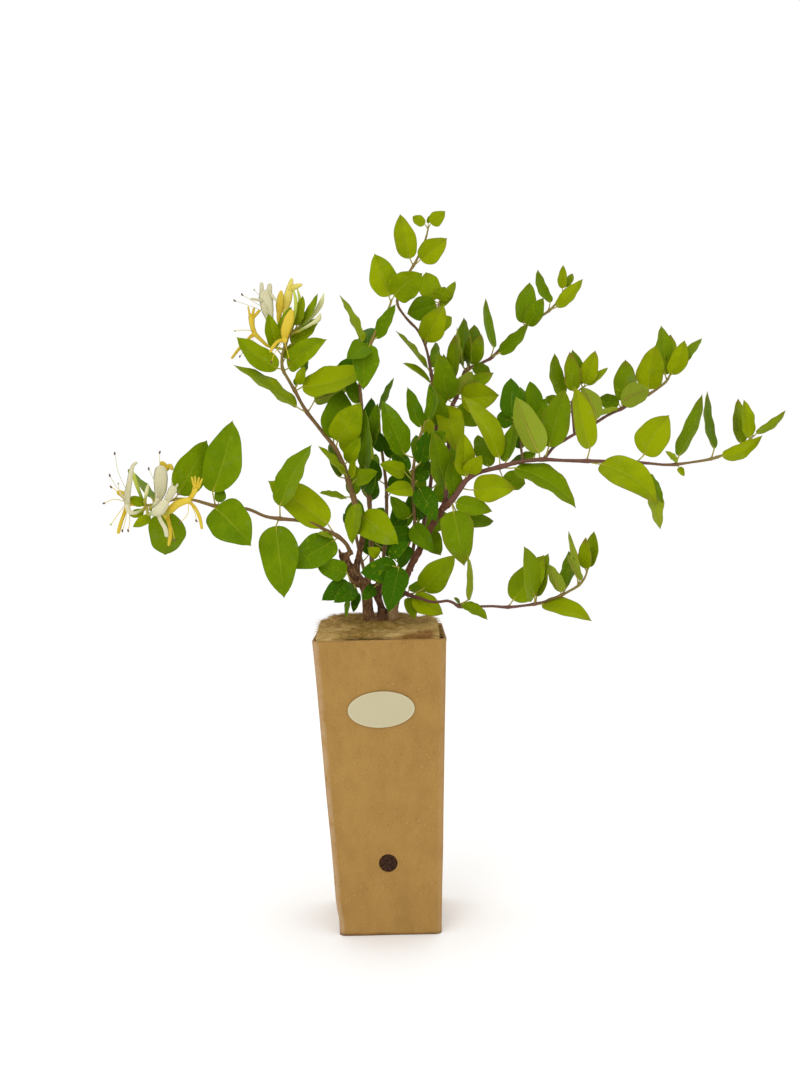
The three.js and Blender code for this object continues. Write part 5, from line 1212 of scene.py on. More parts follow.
growth["leafy_stem_long_right"] = {
    "route": [
        [53.2, 324.6, -7.5, 2.2], [56.5, 328.3, -9, 2.2], [60, 333, -10.5, 2.2], [64, 339, -12, 2],
        [68, 343, -13, 1.9], [75, 347, -15, 1.8], [84, 349.5, -18, 1.6], [93, 351.5, -20, 1.9],
        [108, 355, -24, 1.4], [118, 356, -26, 1.3], [127, 356.5, -28, 1.6], [140, 355.5, -30, 1.2],
        [160, 354.5, -33, 1.5], [175, 354, -35, 1.2], [190, 353, -37, 1.1], [198, 352.5, -38, 1.4],
        [210, 351.5, -39, 1], [220, 350.3, -40, 1], [229, 350.3, -41, 1.2], [240, 351.5, -42, 0.9],
        [257, 354, -44, 1.1], [270, 358, -45, 0.9], [280, 362, -46, 1], [290, 371, -47, 0.9],
    ],
    "leaves": [
        [290, 371, 292.5, 373, 315, 390.5, 6.5, -4, 1, 4, 0.08],
        [281, 363, 280, 366, 278.5, 400.5, 11, 4, 1, 4], [287, 368, 287.5, 370, 283, 399.5, 10, -10, 1, 2],
        [262, 355.5, 266, 356, 297, 371.5, 11.5, -14, 1, 2, 0.11],
        [257, 354, 259.5, 362, 255, 406.5, 7, 3, 1, 0, -0.06],
        [229, 350.3, 232, 357, 250.5, 404.5, 18.5, 5, 1, 1, 0.03],
        [229, 350.5, 231, 353, 221.5, 361, 4.5, -4, 1, 3], [230, 350.3, 232, 348, 236, 341, 5, -6, 1, 2],
        [198, 352.5, 205, 358.5, 225, 389, 25.5, -6, 1, 2, -0.05],
        [199, 352.5, 207, 343, 219.5, 320, 8, 2, 1, 0], [199, 352.3, 210, 338, 217, 300, 5, 8, 1, 3],
        [160, 354.5, 163, 364.5, 152, 413, 17, -10, 1, 2],
        [161, 354.5, 171, 352, 215, 320, 19, -16, 1, 2, -0.11],
        [127, 356.5, 131, 366, 144, 411, 23, 2, 1, 1], [124, 356.5, 123.5, 361.5, 106, 406, 21, -10, -1, 3],
        [93, 351.5, 92.5, 359, 65, 407, 16, 6, 1, 2, 0.08],
        [93, 351.5, 105, 350.5, 151.5, 318, 18, -14, 1, 1, -0.11],
        [119, 356, 120, 359.5, 100, 355, 12, 18, 1, 0],
        [62, 336, 72, 334, 105, 334.5, 22, -12, 1, 2, -0.04], [92, 351, 95, 343, 112.5, 338, 16, 10, 1, 1],
        [64, 339, 66, 345, 65, 379, 16, -8, 1, 2], [65, 340, 68, 347, 79, 361, 14, -14, 1, 2],
        [54, 326, 57, 330, 56, 360, 13, 12, 1, 0], [54.5, 326.5, 56, 318, 63.5, 274.5, 26, -16, 1, 1],
        [56, 328, 58, 324, 86.5, 317, 15, -6, 1, 1, -0.02],
        [54, 326, 61, 313, 87.5, 309.5, 12, 10, 1, 0, 0.03], [84, 349.5, 84, 352, 76, 377, 14, 18, 1, 0],
        [95, 352, 98, 356, 104, 386, 11, 18, 1, 0],
    ],
}
growth["leafy_stem_right_shoot"] = {
    "route": [[110.5, 357.2, -20, 1], [109, 370, 0, 1], [108, 384, 14, 1], [110, 393, 20, 1.1]],
    "leaves": [
        [108.5, 388, 103, 389, 102.5, 420.5, 18, 6, 1, 0],
        [110, 393, 120, 393, 117, 417.5, 13, 8, 1, 1, 0.05], [110, 392, 119, 387, 130, 404, 13, -4, 1, 1],
        [108, 386, 104, 386, 91, 391, 14, 12, 1, 0], [109, 368, 111, 366, 100, 378, 9, 10, 1, 0],
        [109, 390, 113, 396, 110, 413, 9, 18, 1, 1], [108.5, 375, 114, 372, 126, 390, 14, 14, 1, 1],
    ],
}
growth["leafy_stem_right"] = {
    "route": [
        [129.1, 359.3, -25, 1.3], [135, 366, -16, 1.2], [143, 371, -8, 1.2], [154, 377, 4, 1.2],
        [166, 383, 14, 1.3], [178, 390, 22, 1.1], [189, 395, 30, 1.4], [200, 401, 36, 1.1],
        [209, 405, 41, 1.3], [217, 410, 45, 1], [224, 416, 49, 1.2], [226, 420, 50, 1],
    ],
    "leaves": [
        [224, 416, 222, 420, 219.5, 458, 14, 6, 1, 1, 0.03], [226, 420, 227, 425, 227, 451, 10, 12, 1, 4],
        [225, 418, 227, 420, 237.5, 446.5, 13, -6, 1, 2, 0.05],
        [226, 420, 233, 427, 251, 447.5, 8, 2, 1, 1, -0.02],
        [209, 405, 209, 409, 215, 443, 21, -10, 1, 2, -0.02],
        [189, 395, 187.8, 399.5, 210, 408.5, 18, -22, -1, 3, -0.06],
        [189, 395, 189.5, 400, 191.5, 432.5, 17.5, 8, 1, 1, 0.02],
        [188, 394.5, 186, 398, 170, 402.5, 12, 14, 1, 0], [187, 394, 184, 395.5, 166, 388.5, 4.5, -8, 1, 3],
        [166, 383, 168.5, 386.5, 157.5, 412, 16, -12, -1, 3, 0.04],
        [143, 371, 141, 376, 133, 402, 14, 8, 1, 1],
    ],
    "forks": [
        {
            "route": [
                [151, 375.4, 1, 1], [150, 390, 8, 0.9], [150, 401, 12, 0.9], [155, 409, 15, 0.9],
                [159, 412, 16, 1],
            ],
            "leaves": [
                [158, 411.3, 157, 414, 150.5, 441, 11, 4, 1, 0],
                [159, 412, 160, 414, 168.5, 440, 12.5, -5, 1, 2],
                [159, 412, 162, 413.5, 178, 426.5, 6, -8, 1, 2],
                [153, 406, 151, 409, 148.5, 439.5, 13, -5, 1, 4],
                [150, 400, 142, 404, 137, 438.5, 11, 5, 1, 1, -0.05],
                [150, 392, 146, 395, 129, 405, 12, 10, 1, 1],
            ],
        },
    ],
}
growth["leafy_stem_low_right"] = {
    "route": [
        [17.6, 254.4, -6, 1.6], [22, 252.5, -10, 1.4], [30, 250, -16, 1.2], [37, 247.5, -22, 1.1],
        [45, 247.5, -28, 1.1], [50, 248, -31, 1.1], [55, 246, -34, 1.1], [58.5, 243.5, -36, 1.4],
        [65, 243, -38, 1], [75, 243, -41, 1], [85, 243, -44, 0.9], [97, 242, -47, 1.2],
        [110, 243, -50, 0.9], [118, 244, -52, 1.2], [125, 245.5, -54, 0.9], [132, 248, -55, 0.9],
        [138, 250, -56, 1.1], [145, 253.5, -57, 0.9], [152, 257.5, -58, 1], [155.5, 261, -58, 0.9],
        [158, 265, -58, 0.9], [159.5, 270, -58, 1],
    ],
    "leaves": [
        [159.5, 270, 161, 272, 165, 300, 11, 4, 1, 1], [159, 269, 157.5, 271, 158.5, 295.5, 10, -6, 1, 4],
        [153, 258.5, 153.5, 262, 144.5, 282.5, 6, -10, -1, 3],
        [153, 258.5, 151.5, 264, 145.5, 300.5, 12, 6, 1, 2],
        [139, 250.5, 143, 256.5, 145, 285, 15, 5, 1, 0, 0.02],
        [138.5, 250.3, 138.5, 253, 130, 275, 10, -10, -1, 3],
        [118.5, 244, 124, 244, 162.5, 229.5, 14, -12, 1, 2, -0.08],
        [118.5, 244, 119.5, 250, 129.5, 283.5, 15, 6, 1, 1, -0.08],
        [97, 242, 101, 247.5, 126, 282.5, 23, -6, 1, 1, 0.02],
        [118, 244, 118, 251, 110.5, 289.5, 6, -14, 1, 1],
        [58.5, 243.5, 66, 248.5, 66, 284, 4.5, -8, 1, 3, 0.07],
        [58.5, 243.5, 59.5, 246.5, 55, 250.5, 3, -6, 1, 0],
        [60, 243.3, 62, 245.5, 81, 232.5, 9, -14, 1, 1, -0.05],
        [22, 252.5, 23, 251.5, 46.5, 237.5, 18, -8, 1, 2], [18.5, 254, 20, 257.5, 44, 261, 9, 10, 1, 0],
        [18.5, 254, 19.3, 251, 24, 233.5, 10, -10, 1, 1], [19, 253.8, 31, 257.5, 57, 284, 22, -16, 1, 1],
    ],
}
growth["leafy_stem_centre_right"] = {
    "route": [
        [22.3, 274.8, 4, 1.3], [23, 284, 5, 1.3], [24.5, 292, 6, 1.3], [25.5, 300, 7, 1.4],
        [25.5, 312, 8, 1.2], [25, 325, 8, 1.2], [25, 340, 7, 1.2], [26, 355, 6, 1.1], [29, 368, 6, 1.1],
        [32, 378, 7, 1.1], [35, 388, 8, 1.1],
    ],
    "leaves": [
        [32, 378, 32.5, 384, 22.5, 415, 11.5, -6, 1, 1, -0.03],
        [35, 388, 37.5, 388.5, 39, 417.5, 9, 4, 1, 1, 0.1], [27, 360, 19, 363, 2.5, 405, 19, -10, 1, 1],
        [25, 342, 19, 349, -1, 356, 13, -18, 1, 2], [25, 330, 24, 336.5, 3, 335, 13, -20, 1, 2],
        [25, 330, 30, 336, 43, 310, 18, -22, 1, 0], [25.5, 308, 28, 311, 27, 338, 17, 14, 1, 0],
        [25.5, 302, 22.5, 302, -3, 296, 15, -14, 1, 0], [26, 352, 31, 356, 37, 381, 13, -10, 1, 0],
        [25.3, 318, 20, 313, 7, 331, 12, -6, 1, 1], [29, 368, 36, 370, 52, 380, 13, -16, 1, 1],
        [25, 346, 22, 350, 9, 367, 12, 6, 1, 0], [25, 340, 28, 342, 39, 357, 12, 10, 1, 0],
        [23.5, 288, 19, 292, 13.5, 273.5, 12, -10, 1, 0], [25, 298, 24, 307, 40, 286, 15, -8, 1, 1],
    ],
}
growth["leafy_stem_centre"] = {
    "route": [
        [0.5, 268, 12, 1.5], [1, 285, 18, 1.5], [3, 300, 24, 1.4], [4, 320, 30, 1.4], [4, 340, 34, 1.3],
        [2, 360, 37, 1.2], [0, 378, 39, 1.2], [0, 393, 40, 1],
    ],
    "leaves": [
        [0, 392, 0.5, 398, 12, 422.5, 5, -8, 1, 1], [1, 372, 3, 366, -5, 383, 12, -10, 1, 0],
        [4, 330, 8, 334, 22, 350, 16, 10, 1, 0], [4, 340, -1, 343, -15, 362, 14, 10, 1, 0],
        [3, 302, 9, 306, 20, 324, 14, 14, 1, 0], [2.5, 355, 8, 360, 14, 384, 15, 8, 1, 0],
        [1.5, 290, -5, 294, -16, 312, 14, 16, 1, 0],
    ],
}
growth["basal_shoot_left"] = {
    "route": [[-20.8, 262.2, -9, 1.4], [-24, 264, -13, 1.3], [-26, 267, -15, 1.2]],
    "leaves": [
        [-26, 267, -28, 272, -52, 278, 17, -4, 1, 1], [-25, 265.5, -27, 264, -48.5, 250.5, 16, -10, 1, 0],
        [-23, 263.5, -22, 260, -39, 248.5, 13, -16, 1, 0], [-22, 263, -20, 256, -24, 240.5, 7, -4, 1, 0],
        [-24, 264, -27, 254, -29.5, 236, 4, -8, 1, 1],
    ],
}
growth["basal_shoot_front"] = {
    "route": [[-3, 262.5, -10.5, 1.4], [-2, 270, -14, 1.3], [0, 280, -17, 1.3]],
    "leaves": [
        [-1, 275, 11, 274, -18, 271.5, 20, -8, 1, 0], [0, 280, 12.5, 275, 3.5, 239.5, 17, -8, 1, 0],
        [0, 280, -3, 285, -11.5, 291, 9.5, -10, 1, 2], [0, 279, 5, 284, 21, 295, 11, -8, 1, 0],
        [-3, 264, -7, 260, -17, 250, 10, -12, 1, 0],
    ],
}
growth["leafy_stem_rear_left"] = {
    "route": [
        [-11, 262, 14, 1.5], [-15, 275, 30, 1.4], [-19, 293, 48, 1.3], [-22, 312, 62, 1.2],
        [-22, 332, 74, 1.1], [-19, 352, 84, 1],
    ],
    "leaves": [
        [-16, 280, -11, 285, -4, 306, 17, 12, 1, 0], [-20, 300, -22, 306, -19, 330, 16, 12, 1, 1],
        [-20, 302, -10, 304, 2, 322, 15, 14, 1, 1], [-22, 325, -21, 332, -20, 356, 13, 14, 1, 1],
        [-21, 338, -14, 343, -3, 364, 16, 12, 1, 1], [-19, 352, -22, 362, -30, 384, 12, 8, 1, 2],
        [-19, 352, -12, 356, -7, 378, 12, 10, 1, 2],
    ],
}
growth["leafy_stem_rear_right"] = {
    "route": [
        [4.5, 261.5, 15, 1.5], [12, 275, 32, 1.4], [20, 292, 50, 1.3], [29, 312, 68, 1.2],
        [36, 332, 84, 1.1], [42, 352, 96, 1], [46, 366, 104, 1],
    ],
    "leaves": [
        [13, 278, 8, 283, 5, 303, 17, 14, 1, 0], [24, 301, 32, 305, 52, 316, 17, 14, 1, 1],
        [23, 300, 18, 306, 14, 328, 17, 12, 1, 1], [33, 322, 42, 327, 58, 342, 16, 14, 1, 1],
        [33, 323, 29, 330, 26, 353, 16, 12, 1, 1], [41, 350, 47, 354, 62, 369, 14, 12, 1, 1],
        [46, 366, 43, 371, 37, 392, 13, 8, 1, 2], [46, 366, 49, 371, 58, 392, 13, 10, 1, 2],
    ],
}

# Blooms and buds: a tube of [x, z, depth, radius], petals of [x, z, depth, width], threads of [x, z, depth].
blooms = {}
blooms["bloom_white_broad"] = {
    "stem": "leafy_stem_left",
    "colour": "white",
    "tube": [[-178.5, 326, -53, 1.1], [-175.5, 329, -53, 1.5], [-173, 333, -53, 2.2]],
    "petals": [
        [[-173.5, 331.5, -53, 5], [-171.5, 339, -53, 9], [-171, 348, -54, 10.5], [-170.5, 358.5, -56, 8]],
    ],
    "threads": [
        [[-174, 334, -54], [-176, 346, -58], [-180, 356.5, -60]],
        [[-173, 334, -54], [-172, 352, -60], [-171, 369, -62]],
    ],
}
blooms["bloom_white_front"] = {
    "stem": "leafy_stem_left",
    "colour": "white",
    "tube": [
        [-180.5, 321, -57, 1.2], [-177, 321.5, -59, 2.2], [-173, 323.5, -60, 4.2], [-169, 328, -60, 3.6],
        [-166.5, 331, -60, 2.2],
    ],
    "petals": [
        [[-168, 329, -60, 4], [-165, 334, -61, 5], [-162, 339, -62, 6.5], [-160, 342, -63, 5]],
        [[-162, 339, -62, 2], [-162.5, 345.5, -63, 1.4]],
        [[-160.5, 340, -62, 2], [-157.5, 344, -64, 1.4]],
        [[-174, 322.5, -60, 3.2], [-172, 316, -61, 3], [-168.5, 309, -62, 3.4], [-167.5, 302.5, -63, 3]],
    ],
    "threads": [[[-167, 330, -61], [-163, 332, -65], [-157, 336, -70]]],
}
blooms["bloom_yellow_front"] = {
    "stem": "leafy_stem_left",
    "colour": "yellow",
    "tube": [
        [-168.5, 321.5, -51, 2], [-164, 324, -52, 3], [-159, 328, -53, 3], [-152, 330.5, -54, 2.5],
        [-148, 331, -54, 2],
    ],
    "petals": [
        [[-149.5, 331, -54, 3.5], [-146, 336, -55, 3.5], [-143.5, 342, -56, 5.5]],
        [[-144.8, 340, -56, 2], [-147, 349.5, -57, 1.5]],
        [[-144, 340.5, -56, 2], [-144.3, 350, -57, 1.5]],
        [[-143, 340.5, -56, 2], [-141, 349, -57, 1.5]],
        [[-142, 340, -56, 2], [-138.5, 348, -57, 1.5]],
        [[-149.5, 330, -54, 2.5], [-145, 325, -55, 2.4], [-141.5, 317, -56, 2.6], [-140, 308, -57, 2]],
    ],
    "threads": [
        [[-149, 330, -55], [-145, 320, -59], [-144, 314.5, -60]],
        [[-150, 330, -55], [-151, 320, -60], [-157, 313.5, -62]],
    ],
}
blooms["bloom_yellow_rear"] = {
    "stem": "leafy_stem_left",
    "colour": "yellow",
    "tube": [[-176, 333, -42, 1.1], [-173, 342, -41, 1.2], [-169, 351, -40, 1.6], [-167, 356, -40, 2]],
    "petals": [
        [[-167.5, 354, -40, 4], [-168.5, 359, -41, 4.5], [-171.5, 361, -43, 2.5]],
        [[-167, 355, -40, 3.5], [-163.5, 358, -41, 4], [-161.5, 354.5, -42, 2]],
    ],
    "threads": [],
}
blooms["bloom_white_left"] = {
    "stem": "leafy_stem_left",
    "colour": "white",
    "tube": [[-187, 324, -51, 1.1], [-192, 322, -52, 1.3], [-196, 323, -53, 1.7], [-198, 329, -54, 2.2]],
    "petals": [
        [
            [-197.5, 326, -54, 3.5], [-197.5, 335, -55, 5], [-195.5, 345, -56, 4], [-194, 353, -57, 3.5],
            [-192, 359, -57, 2.5], [-188.5, 361.5, -56, 1.8],
        ],
    ],
    "threads": [
        [[-198, 331, -55], [-203, 338, -62], [-204, 345.5, -64]],
        [[-198, 332, -55], [-207, 345, -62], [-210.5, 352, -64]],
        [[-197, 338, -56], [-204, 355, -64], [-206, 369, -66]],
    ],
}
blooms["bloom_yellow_left"] = {
    "stem": "leafy_stem_left",
    "colour": "yellow",
    "tube": [[-187.5, 328.5, -46, 1.1], [-193, 329, -45, 1.5], [-198, 330, -45, 2.2]],
    "petals": [
        [[-197, 330, -45, 4], [-200, 336, -46, 5], [-205.5, 339, -48, 3.5]],
        [[-197.5, 329, -45, 3], [-200.5, 321, -46, 2.6], [-203.5, 313, -48, 2.8], [-205.5, 306, -50, 2.4]],
    ],
    "threads": [
        [[-199, 329, -46], [-206, 320, -50], [-211, 313, -52]],
        [[-198, 329, -46], [-199, 318, -50], [-202, 308, -52]],
        [[-197.5, 329, -46], [-196, 317, -50], [-197.5, 308, -52]],
        [[-199, 331, -47], [-208, 333, -54], [-216, 330, -58]],
        [[-199, 332, -47], [-206, 340, -54], [-210, 343, -56]],
    ],
}
blooms["bloom_yellow_lower"] = {
    "stem": "leafy_stem_left",
    "colour": "yellow",
    "tube": [[-172, 325, -46, 1.1], [-169.5, 321.5, -45, 1.8], [-166.5, 318, -45, 2.2]],
    "petals": [
        [[-167, 319.5, -45, 3.5], [-165, 311, -46, 2.6], [-165, 303, -47, 3.2], [-166.5, 295.5, -48, 2]],
    ],
    "threads": [[[-166.5, 319, -45], [-163, 308, -50], [-161.5, 300, -52]]],
}
blooms["bud_green_left"] = {
    "stem": "leafy_stem_left",
    "colour": "green",
    "tube": [
        [-186, 333, -44, 1.1], [-189.5, 343, -44, 1.5], [-191.5, 350, -44, 1.5], [-192, 354, -44, 0.9],
    ],
    "petals": [],
    "threads": [],
}
blooms["bud_cream_left"] = {
    "stem": "leafy_stem_left",
    "colour": "cream",
    "tube": [[-183.5, 332.5, -51, 1], [-182, 339, -51, 1.5], [-180.5, 344.5, -51, 0.9]],
    "petals": [],
    "threads": [],
}
blooms["bloom_white_upper"] = {
    "stem": "leafy_stem_upper_left",
    "colour": "white",
    "tube": [[-76.5, 460, 27, 1.1], [-80, 464, 26, 1.5], [-83, 469, 25, 2.2]],
    "petals": [
        [[-82.5, 467, 25, 5], [-84.5, 477, 25, 10], [-85.5, 487, 24, 11.5], [-85.8, 492, 23, 9]],
        [[-88.5, 489, 24, 4], [-88.5, 498, 22, 2.6]],
        [[-83, 489, 24, 5], [-82, 497, 22, 3.4]],
        [[-83, 490, 24, 3], [-77, 483, 23, 2]],
        [[-87, 483, 24.5, 2.4], [-92, 484.5, 22, 2.2], [-97.5, 485.5, 20, 1.8]],
    ],
    "threads": [
        [[-84.5, 478, 24], [-90, 487, 12], [-94.5, 492.5, 8]],
        [[-84, 476, 24], [-95, 483, 10], [-104, 489, 6]],
        [[-84, 474, 24], [-98, 480, 10], [-110, 484.5, 6]],
    ],
}
blooms["bloom_yellow_upper"] = {
    "stem": "leafy_stem_upper_left",
    "colour": "yellow",
    "tube": [[-74, 461, 33, 1.1], [-76, 468, 34, 1.6], [-75.5, 474, 34, 2.2]],
    "petals": [[[-75.5, 472, 34, 4], [-75, 480, 34, 6.5], [-74, 487, 34, 5], [-73.5, 491.5, 34, 2]]],
    "threads": [],
}
blooms["bloom_pale_upper"] = {
    "stem": "leafy_stem_upper_left",
    "colour": "pale_yellow",
    "tube": [[-70, 462, 36, 1.1], [-71, 470, 38, 1.5], [-71, 477, 39, 2.3]],
    "petals": [
        [[-71, 475, 39, 4.5], [-69, 484, 39, 7.5], [-67, 492, 39, 6], [-65, 500.5, 39, 2.5]],
        [[-68, 491, 39, 4], [-62, 494, 38, 4.5], [-57, 495.5, 37, 2]],
    ],
    "threads": [],
}
blooms["bloom_yellow_fore"] = {
    "stem": "leafy_stem_upper_left",
    "colour": "yellow",
    "tube": [[-71, 453.5, 25, 1.2], [-72, 453, 19, 2.2]],
    "petals": [
        [[-72, 452.5, 20, 4], [-71, 460, 17, 8.5], [-68, 469, 16, 9], [-65.5, 476.5, 16, 3.5]],
        [[-72, 453.5, 20, 3], [-77, 452, 17, 3], [-81, 448, 15, 2.8], [-83.5, 443.5, 14, 2]],
    ],
    "threads": [
        [[-72, 453, 20], [-70.5, 446, 14], [-68.5, 437.5, 12]],
        [[-72.5, 453, 20], [-80, 443, 12], [-82.5, 436, 11]],
    ],
}
blooms["bloom_yellow_side"] = {
    "stem": "leafy_stem_upper_left",
    "colour": "yellow",
    "tube": [[-79, 447.5, 31, 1.1], [-85, 449, 30, 1.3], [-90, 453.5, 30, 1.6], [-95.5, 459, 30, 2.2]],
    "petals": [
        [[-94.5, 457.5, 30, 4], [-96.5, 464, 30, 4], [-97, 470, 30, 5], [-97, 474, 30, 5]],
        [[-98, 471, 30, 2], [-99.5, 480, 29, 1.3]],
        [[-96.5, 472, 30, 2.4], [-94.5, 479, 29, 1.8]],
        [[-96, 470.5, 30, 2.6], [-90, 477, 29, 2.4]],
        [[-95, 459, 30, 3], [-100, 454.5, 29, 2.6], [-107, 447.5, 27, 2.6], [-113.5, 439.5, 25, 2]],
    ],
    "threads": [
        [[-96, 461, 30], [-104, 461.5, 22], [-110.5, 461, 18]],
        [[-96, 459.5, 30], [-101, 449, 20], [-107, 441, 16]],
        [[-95.5, 459, 30], [-98, 448, 21], [-103, 442, 18]],
    ],
}
blooms["bud_pale_upper"] = {
    "stem": "leafy_stem_upper_left",
    "colour": "cream",
    "tube": [
        [-63, 461, 32, 1.1], [-55, 466.5, 33, 1.4], [-47, 474.5, 34, 2], [-43, 481, 34, 2.2],
        [-40.5, 488.5, 34, 1],
    ],
    "petals": [],
    "threads": [],
}
blooms["bud_white_upper"] = {
    "stem": "leafy_stem_upper_left",
    "colour": "cream",
    "tube": [[-59, 460.5, 24, 1.1], [-51, 465, 24, 1.4], [-45.5, 468.5, 24, 2.2], [-43.5, 473, 24, 1.2]],
    "petals": [],
    "threads": [],
}
blooms["bud_green_upper"] = {
    "stem": "leafy_stem_upper_left",
    "colour": "green",
    "tube": [[-66, 464, 26, 1], [-63.5, 473, 28, 1.2], [-62.5, 482, 29, 1.5], [-64, 492.5, 29, 0.9]],
    "petals": [],
    "threads": [],
}
blooms["bud_green_rear"] = {
    "stem": "leafy_stem_upper_left",
    "colour": "green",
    "tube": [[-65.5, 463, 39, 1], [-61, 474, 41, 1.2], [-59.5, 484, 41, 1.4], [-61, 492.5, 41, 0.9]],
    "petals": [],
    "threads": [],
}


# Leaf, stem and petal finishes.
foliage = {
    # greens from deep to bright, which carry painted shade and light as well as the leaves' own colour
    "bright": shown(138, 152, 0),
    "mid": shown(92, 121, 0),
    "deep": shown(42, 84, 0),
    "olive": shown(76, 98, 2),
    "pale": shown(136, 150, 44),
    "young": shown(128, 88, 40),
    "vein": shown(150, 160, 40),
    "blotch": shown(146, 162, 10),
    "speck": shown(70, 60, 20),
    "gloss": 0.5,
}


def leafMaterial():
    material, make = newMaterial("honeysuckle leaf")
    spot = make.objectPlace()
    q, t = make.painted("across"), make.painted("reach")
    shade, form = make.painted("shade", "Vector"), make.painted("form", "Vector")
    tone, young, pale = shade.part(0), shade.part(1), shade.part(2)
    seed = form.part(1)
    edge = q.one("ABSOLUTE")
    cloud = make.noise(spot, 0.09, 3.0)
    fine = make.noise(spot, 1.3, 3.0, 0.6)
    # Deep to bright green by tone: painted shade and light, as well as the leaf's own greens.
    deep = make.mix(young.ease(0.0, 0.25), foliage["deep"], foliage["olive"])
    colour = make.mix(tone.ease(0.0, 0.5), deep, foliage["mid"])
    colour = make.mix(tone.ease(0.5, 1.0), colour, foliage["bright"])
    colour = make.mix((cloud - 0.5) * 0.9 + (seed - 0.5) * 0.5, colour, deep)
    colour = make.mix((fine - 0.5) * 0.5, colour, foliage["bright"])
    # One half of each blade darker: painted shade on the half the light misses. The blade also darkens
    # towards its tip.
    lit = (q * ((seed * 60.0).one("SINE") > 0) * 2.0 - q).ease(-0.12, 0.12)
    colour = make.mix(lit * 0.16 + t.ease(0.55, 1.0) * 0.14, colour, deep)
    mottle = make.noise(spot, 0.3, 4.0, 0.6).ease(0.55, 0.68) * (seed * 37.0).one("SINE").ease(-0.2, 0.9)
    colour = make.mix(mottle * 0.3, colour, foliage["blotch"])
    web = make.cells(spot, 0.75)
    colour = make.mix(web.ease(0.55, 0.95) * 0.1, colour, foliage["vein"])
    arc = ((t - edge * 0.34) * 40.0 + (q > 0) * 1.4 + (fine - 0.5) * 0.9 + cloud * 8.0).one("SINE")
    lateral = arc.ease(0.9, 1.0) * (1 - edge.ease(0.72, 0.98)) * edge.ease(0.0, 0.1)
    midrib = 1 - (edge - (1 - t) * 0.035).ease(0.0, 0.05)
    veins = lateral * 0.07 + midrib * (tone * 0.25 + 0.14)
    colour = make.mix(veins, colour, foliage["vein"])
    flush = (edge.ease(0.72, 1.0) * 0.8 + t.ease(0.7, 1.0)) * young * cloud.ease(0.3, 0.6)
    colour = make.mix(flush * 0.75, colour, foliage["young"])
    margin = edge.ease(0.93, 1.0) * (1 - young)
    colour = make.mix(margin * 0.22, colour, foliage["deep"])
    under = make.painted("underside")
    back = make.mix(veins * 0.6 + cloud * 0.3, foliage["pale"], foliage["mid"])
    colour = make.mix(under * 0.8, colour, back)
    colour = make.mix(pale * 0.55, colour, foliage["pale"])
    specks = 1 - make.cells(spot, 0.16).ease(0.025, 0.06)
    colour = make.mix(specks * (seed > 0.6) * 0.7, colour, foliage["speck"])
    height = arc.ease(0.2, 1.0) * -0.25 - midrib * 0.8 + web * 0.2 + fine * 0.15
    rough = fine * 0.08 + foliage["gloss"] - 0.06 + under * 0.22
    coat = {"Coat Weight": make.noise(spot, 0.12, 2.0).ease(0.6, 0.72) * 0.2, "Coat Roughness": 0.28}
    finishMaterial(make, colour, rough, 0.03, (height, 0.3), coat)
    return material


stalks = {
    "olive": shown(116, 88, 34),
    "purple": shown(98, 58, 46),
    "grey": shown(134, 110, 78),
    "brown": shown(88, 60, 34),
    "fresh": shown(170, 164, 52),
}


def stalkMaterial():
    material, make = newMaterial("honeysuckle stem")
    spot = make.objectPlace()
    shade = make.painted("shade", "Vector")
    purple, fresh = shade.part(0), shade.part(1)
    streak = make.noise(spot * (1.0, 1.0, 0.4), 1.3, 3.0, 0.6)
    patch = make.noise(spot, 0.14, 3.0)
    colour = make.mix(purple, stalks["olive"], stalks["purple"])
    colour = make.mix((streak - 0.45) * 1.2, colour, stalks["grey"])
    colour = make.mix(patch.ease(0.5, 0.7) * 0.4, colour, stalks["brown"])
    colour = make.mix(fresh * (streak * 0.4 + 0.6), colour, stalks["fresh"])
    height = streak + make.noise(spot, 2.4, 2.0) * 0.5
    finishMaterial(make, colour, streak * 0.2 + 0.5, 0.3, (height, 0.25))
    return material


petals = {
    "tints": {  # each with its deeper tone
        "white": (shown(203, 197, 160), shown(182, 177, 132)),
        "yellow": (shown(210, 184, 50), shown(203, 167, 18)),
        "pale_yellow": (shown(219, 205, 98), shown(208, 182, 54)),
        "cream": (shown(208, 205, 148), shown(178, 184, 92)),
        "green": (shown(178, 188, 70), shown(140, 160, 44)),
    },
    "anther": shown(92, 62, 52),
    "calyx": shown(122, 150, 30),
}


def petalMaterial(tint):
    material, make = newMaterial("petal " + tint.replace("_", " "))
    spot = make.objectPlace()
    full, deep = petals["tints"][tint]
    cloud = make.noise(spot, 0.22, 3.0)
    grain = make.noise(spot, 1.6, 3.0, 0.6)
    streak = (make.painted("across") * 14.0).one("SINE")
    foot = (1 - make.painted("reach").ease(0.0, 0.7)) * 0.6
    colour = make.mix(foot + (cloud - 0.5) * 0.8, full, deep)
    colour = make.mix(streak.ease(0.2, 1.0) * 0.25 + (grain - 0.5) * 0.1, colour, deep)
    colour = make.mix(make.painted("green"), colour, petals["calyx"])
    colour = make.mix(make.painted("anther"), colour, petals["anther"])
    finishMaterial(make, colour, grain * 0.2 + 0.45, 0.3, (grain * 0.12 + streak * 0.4, 0.1))
    return material


barks = {
    "brown": shown(120, 84, 52),
    "dark": shown(68, 42, 25),
    "flake": shown(176, 142, 102),
    "limb": shown(98, 56, 40),
}


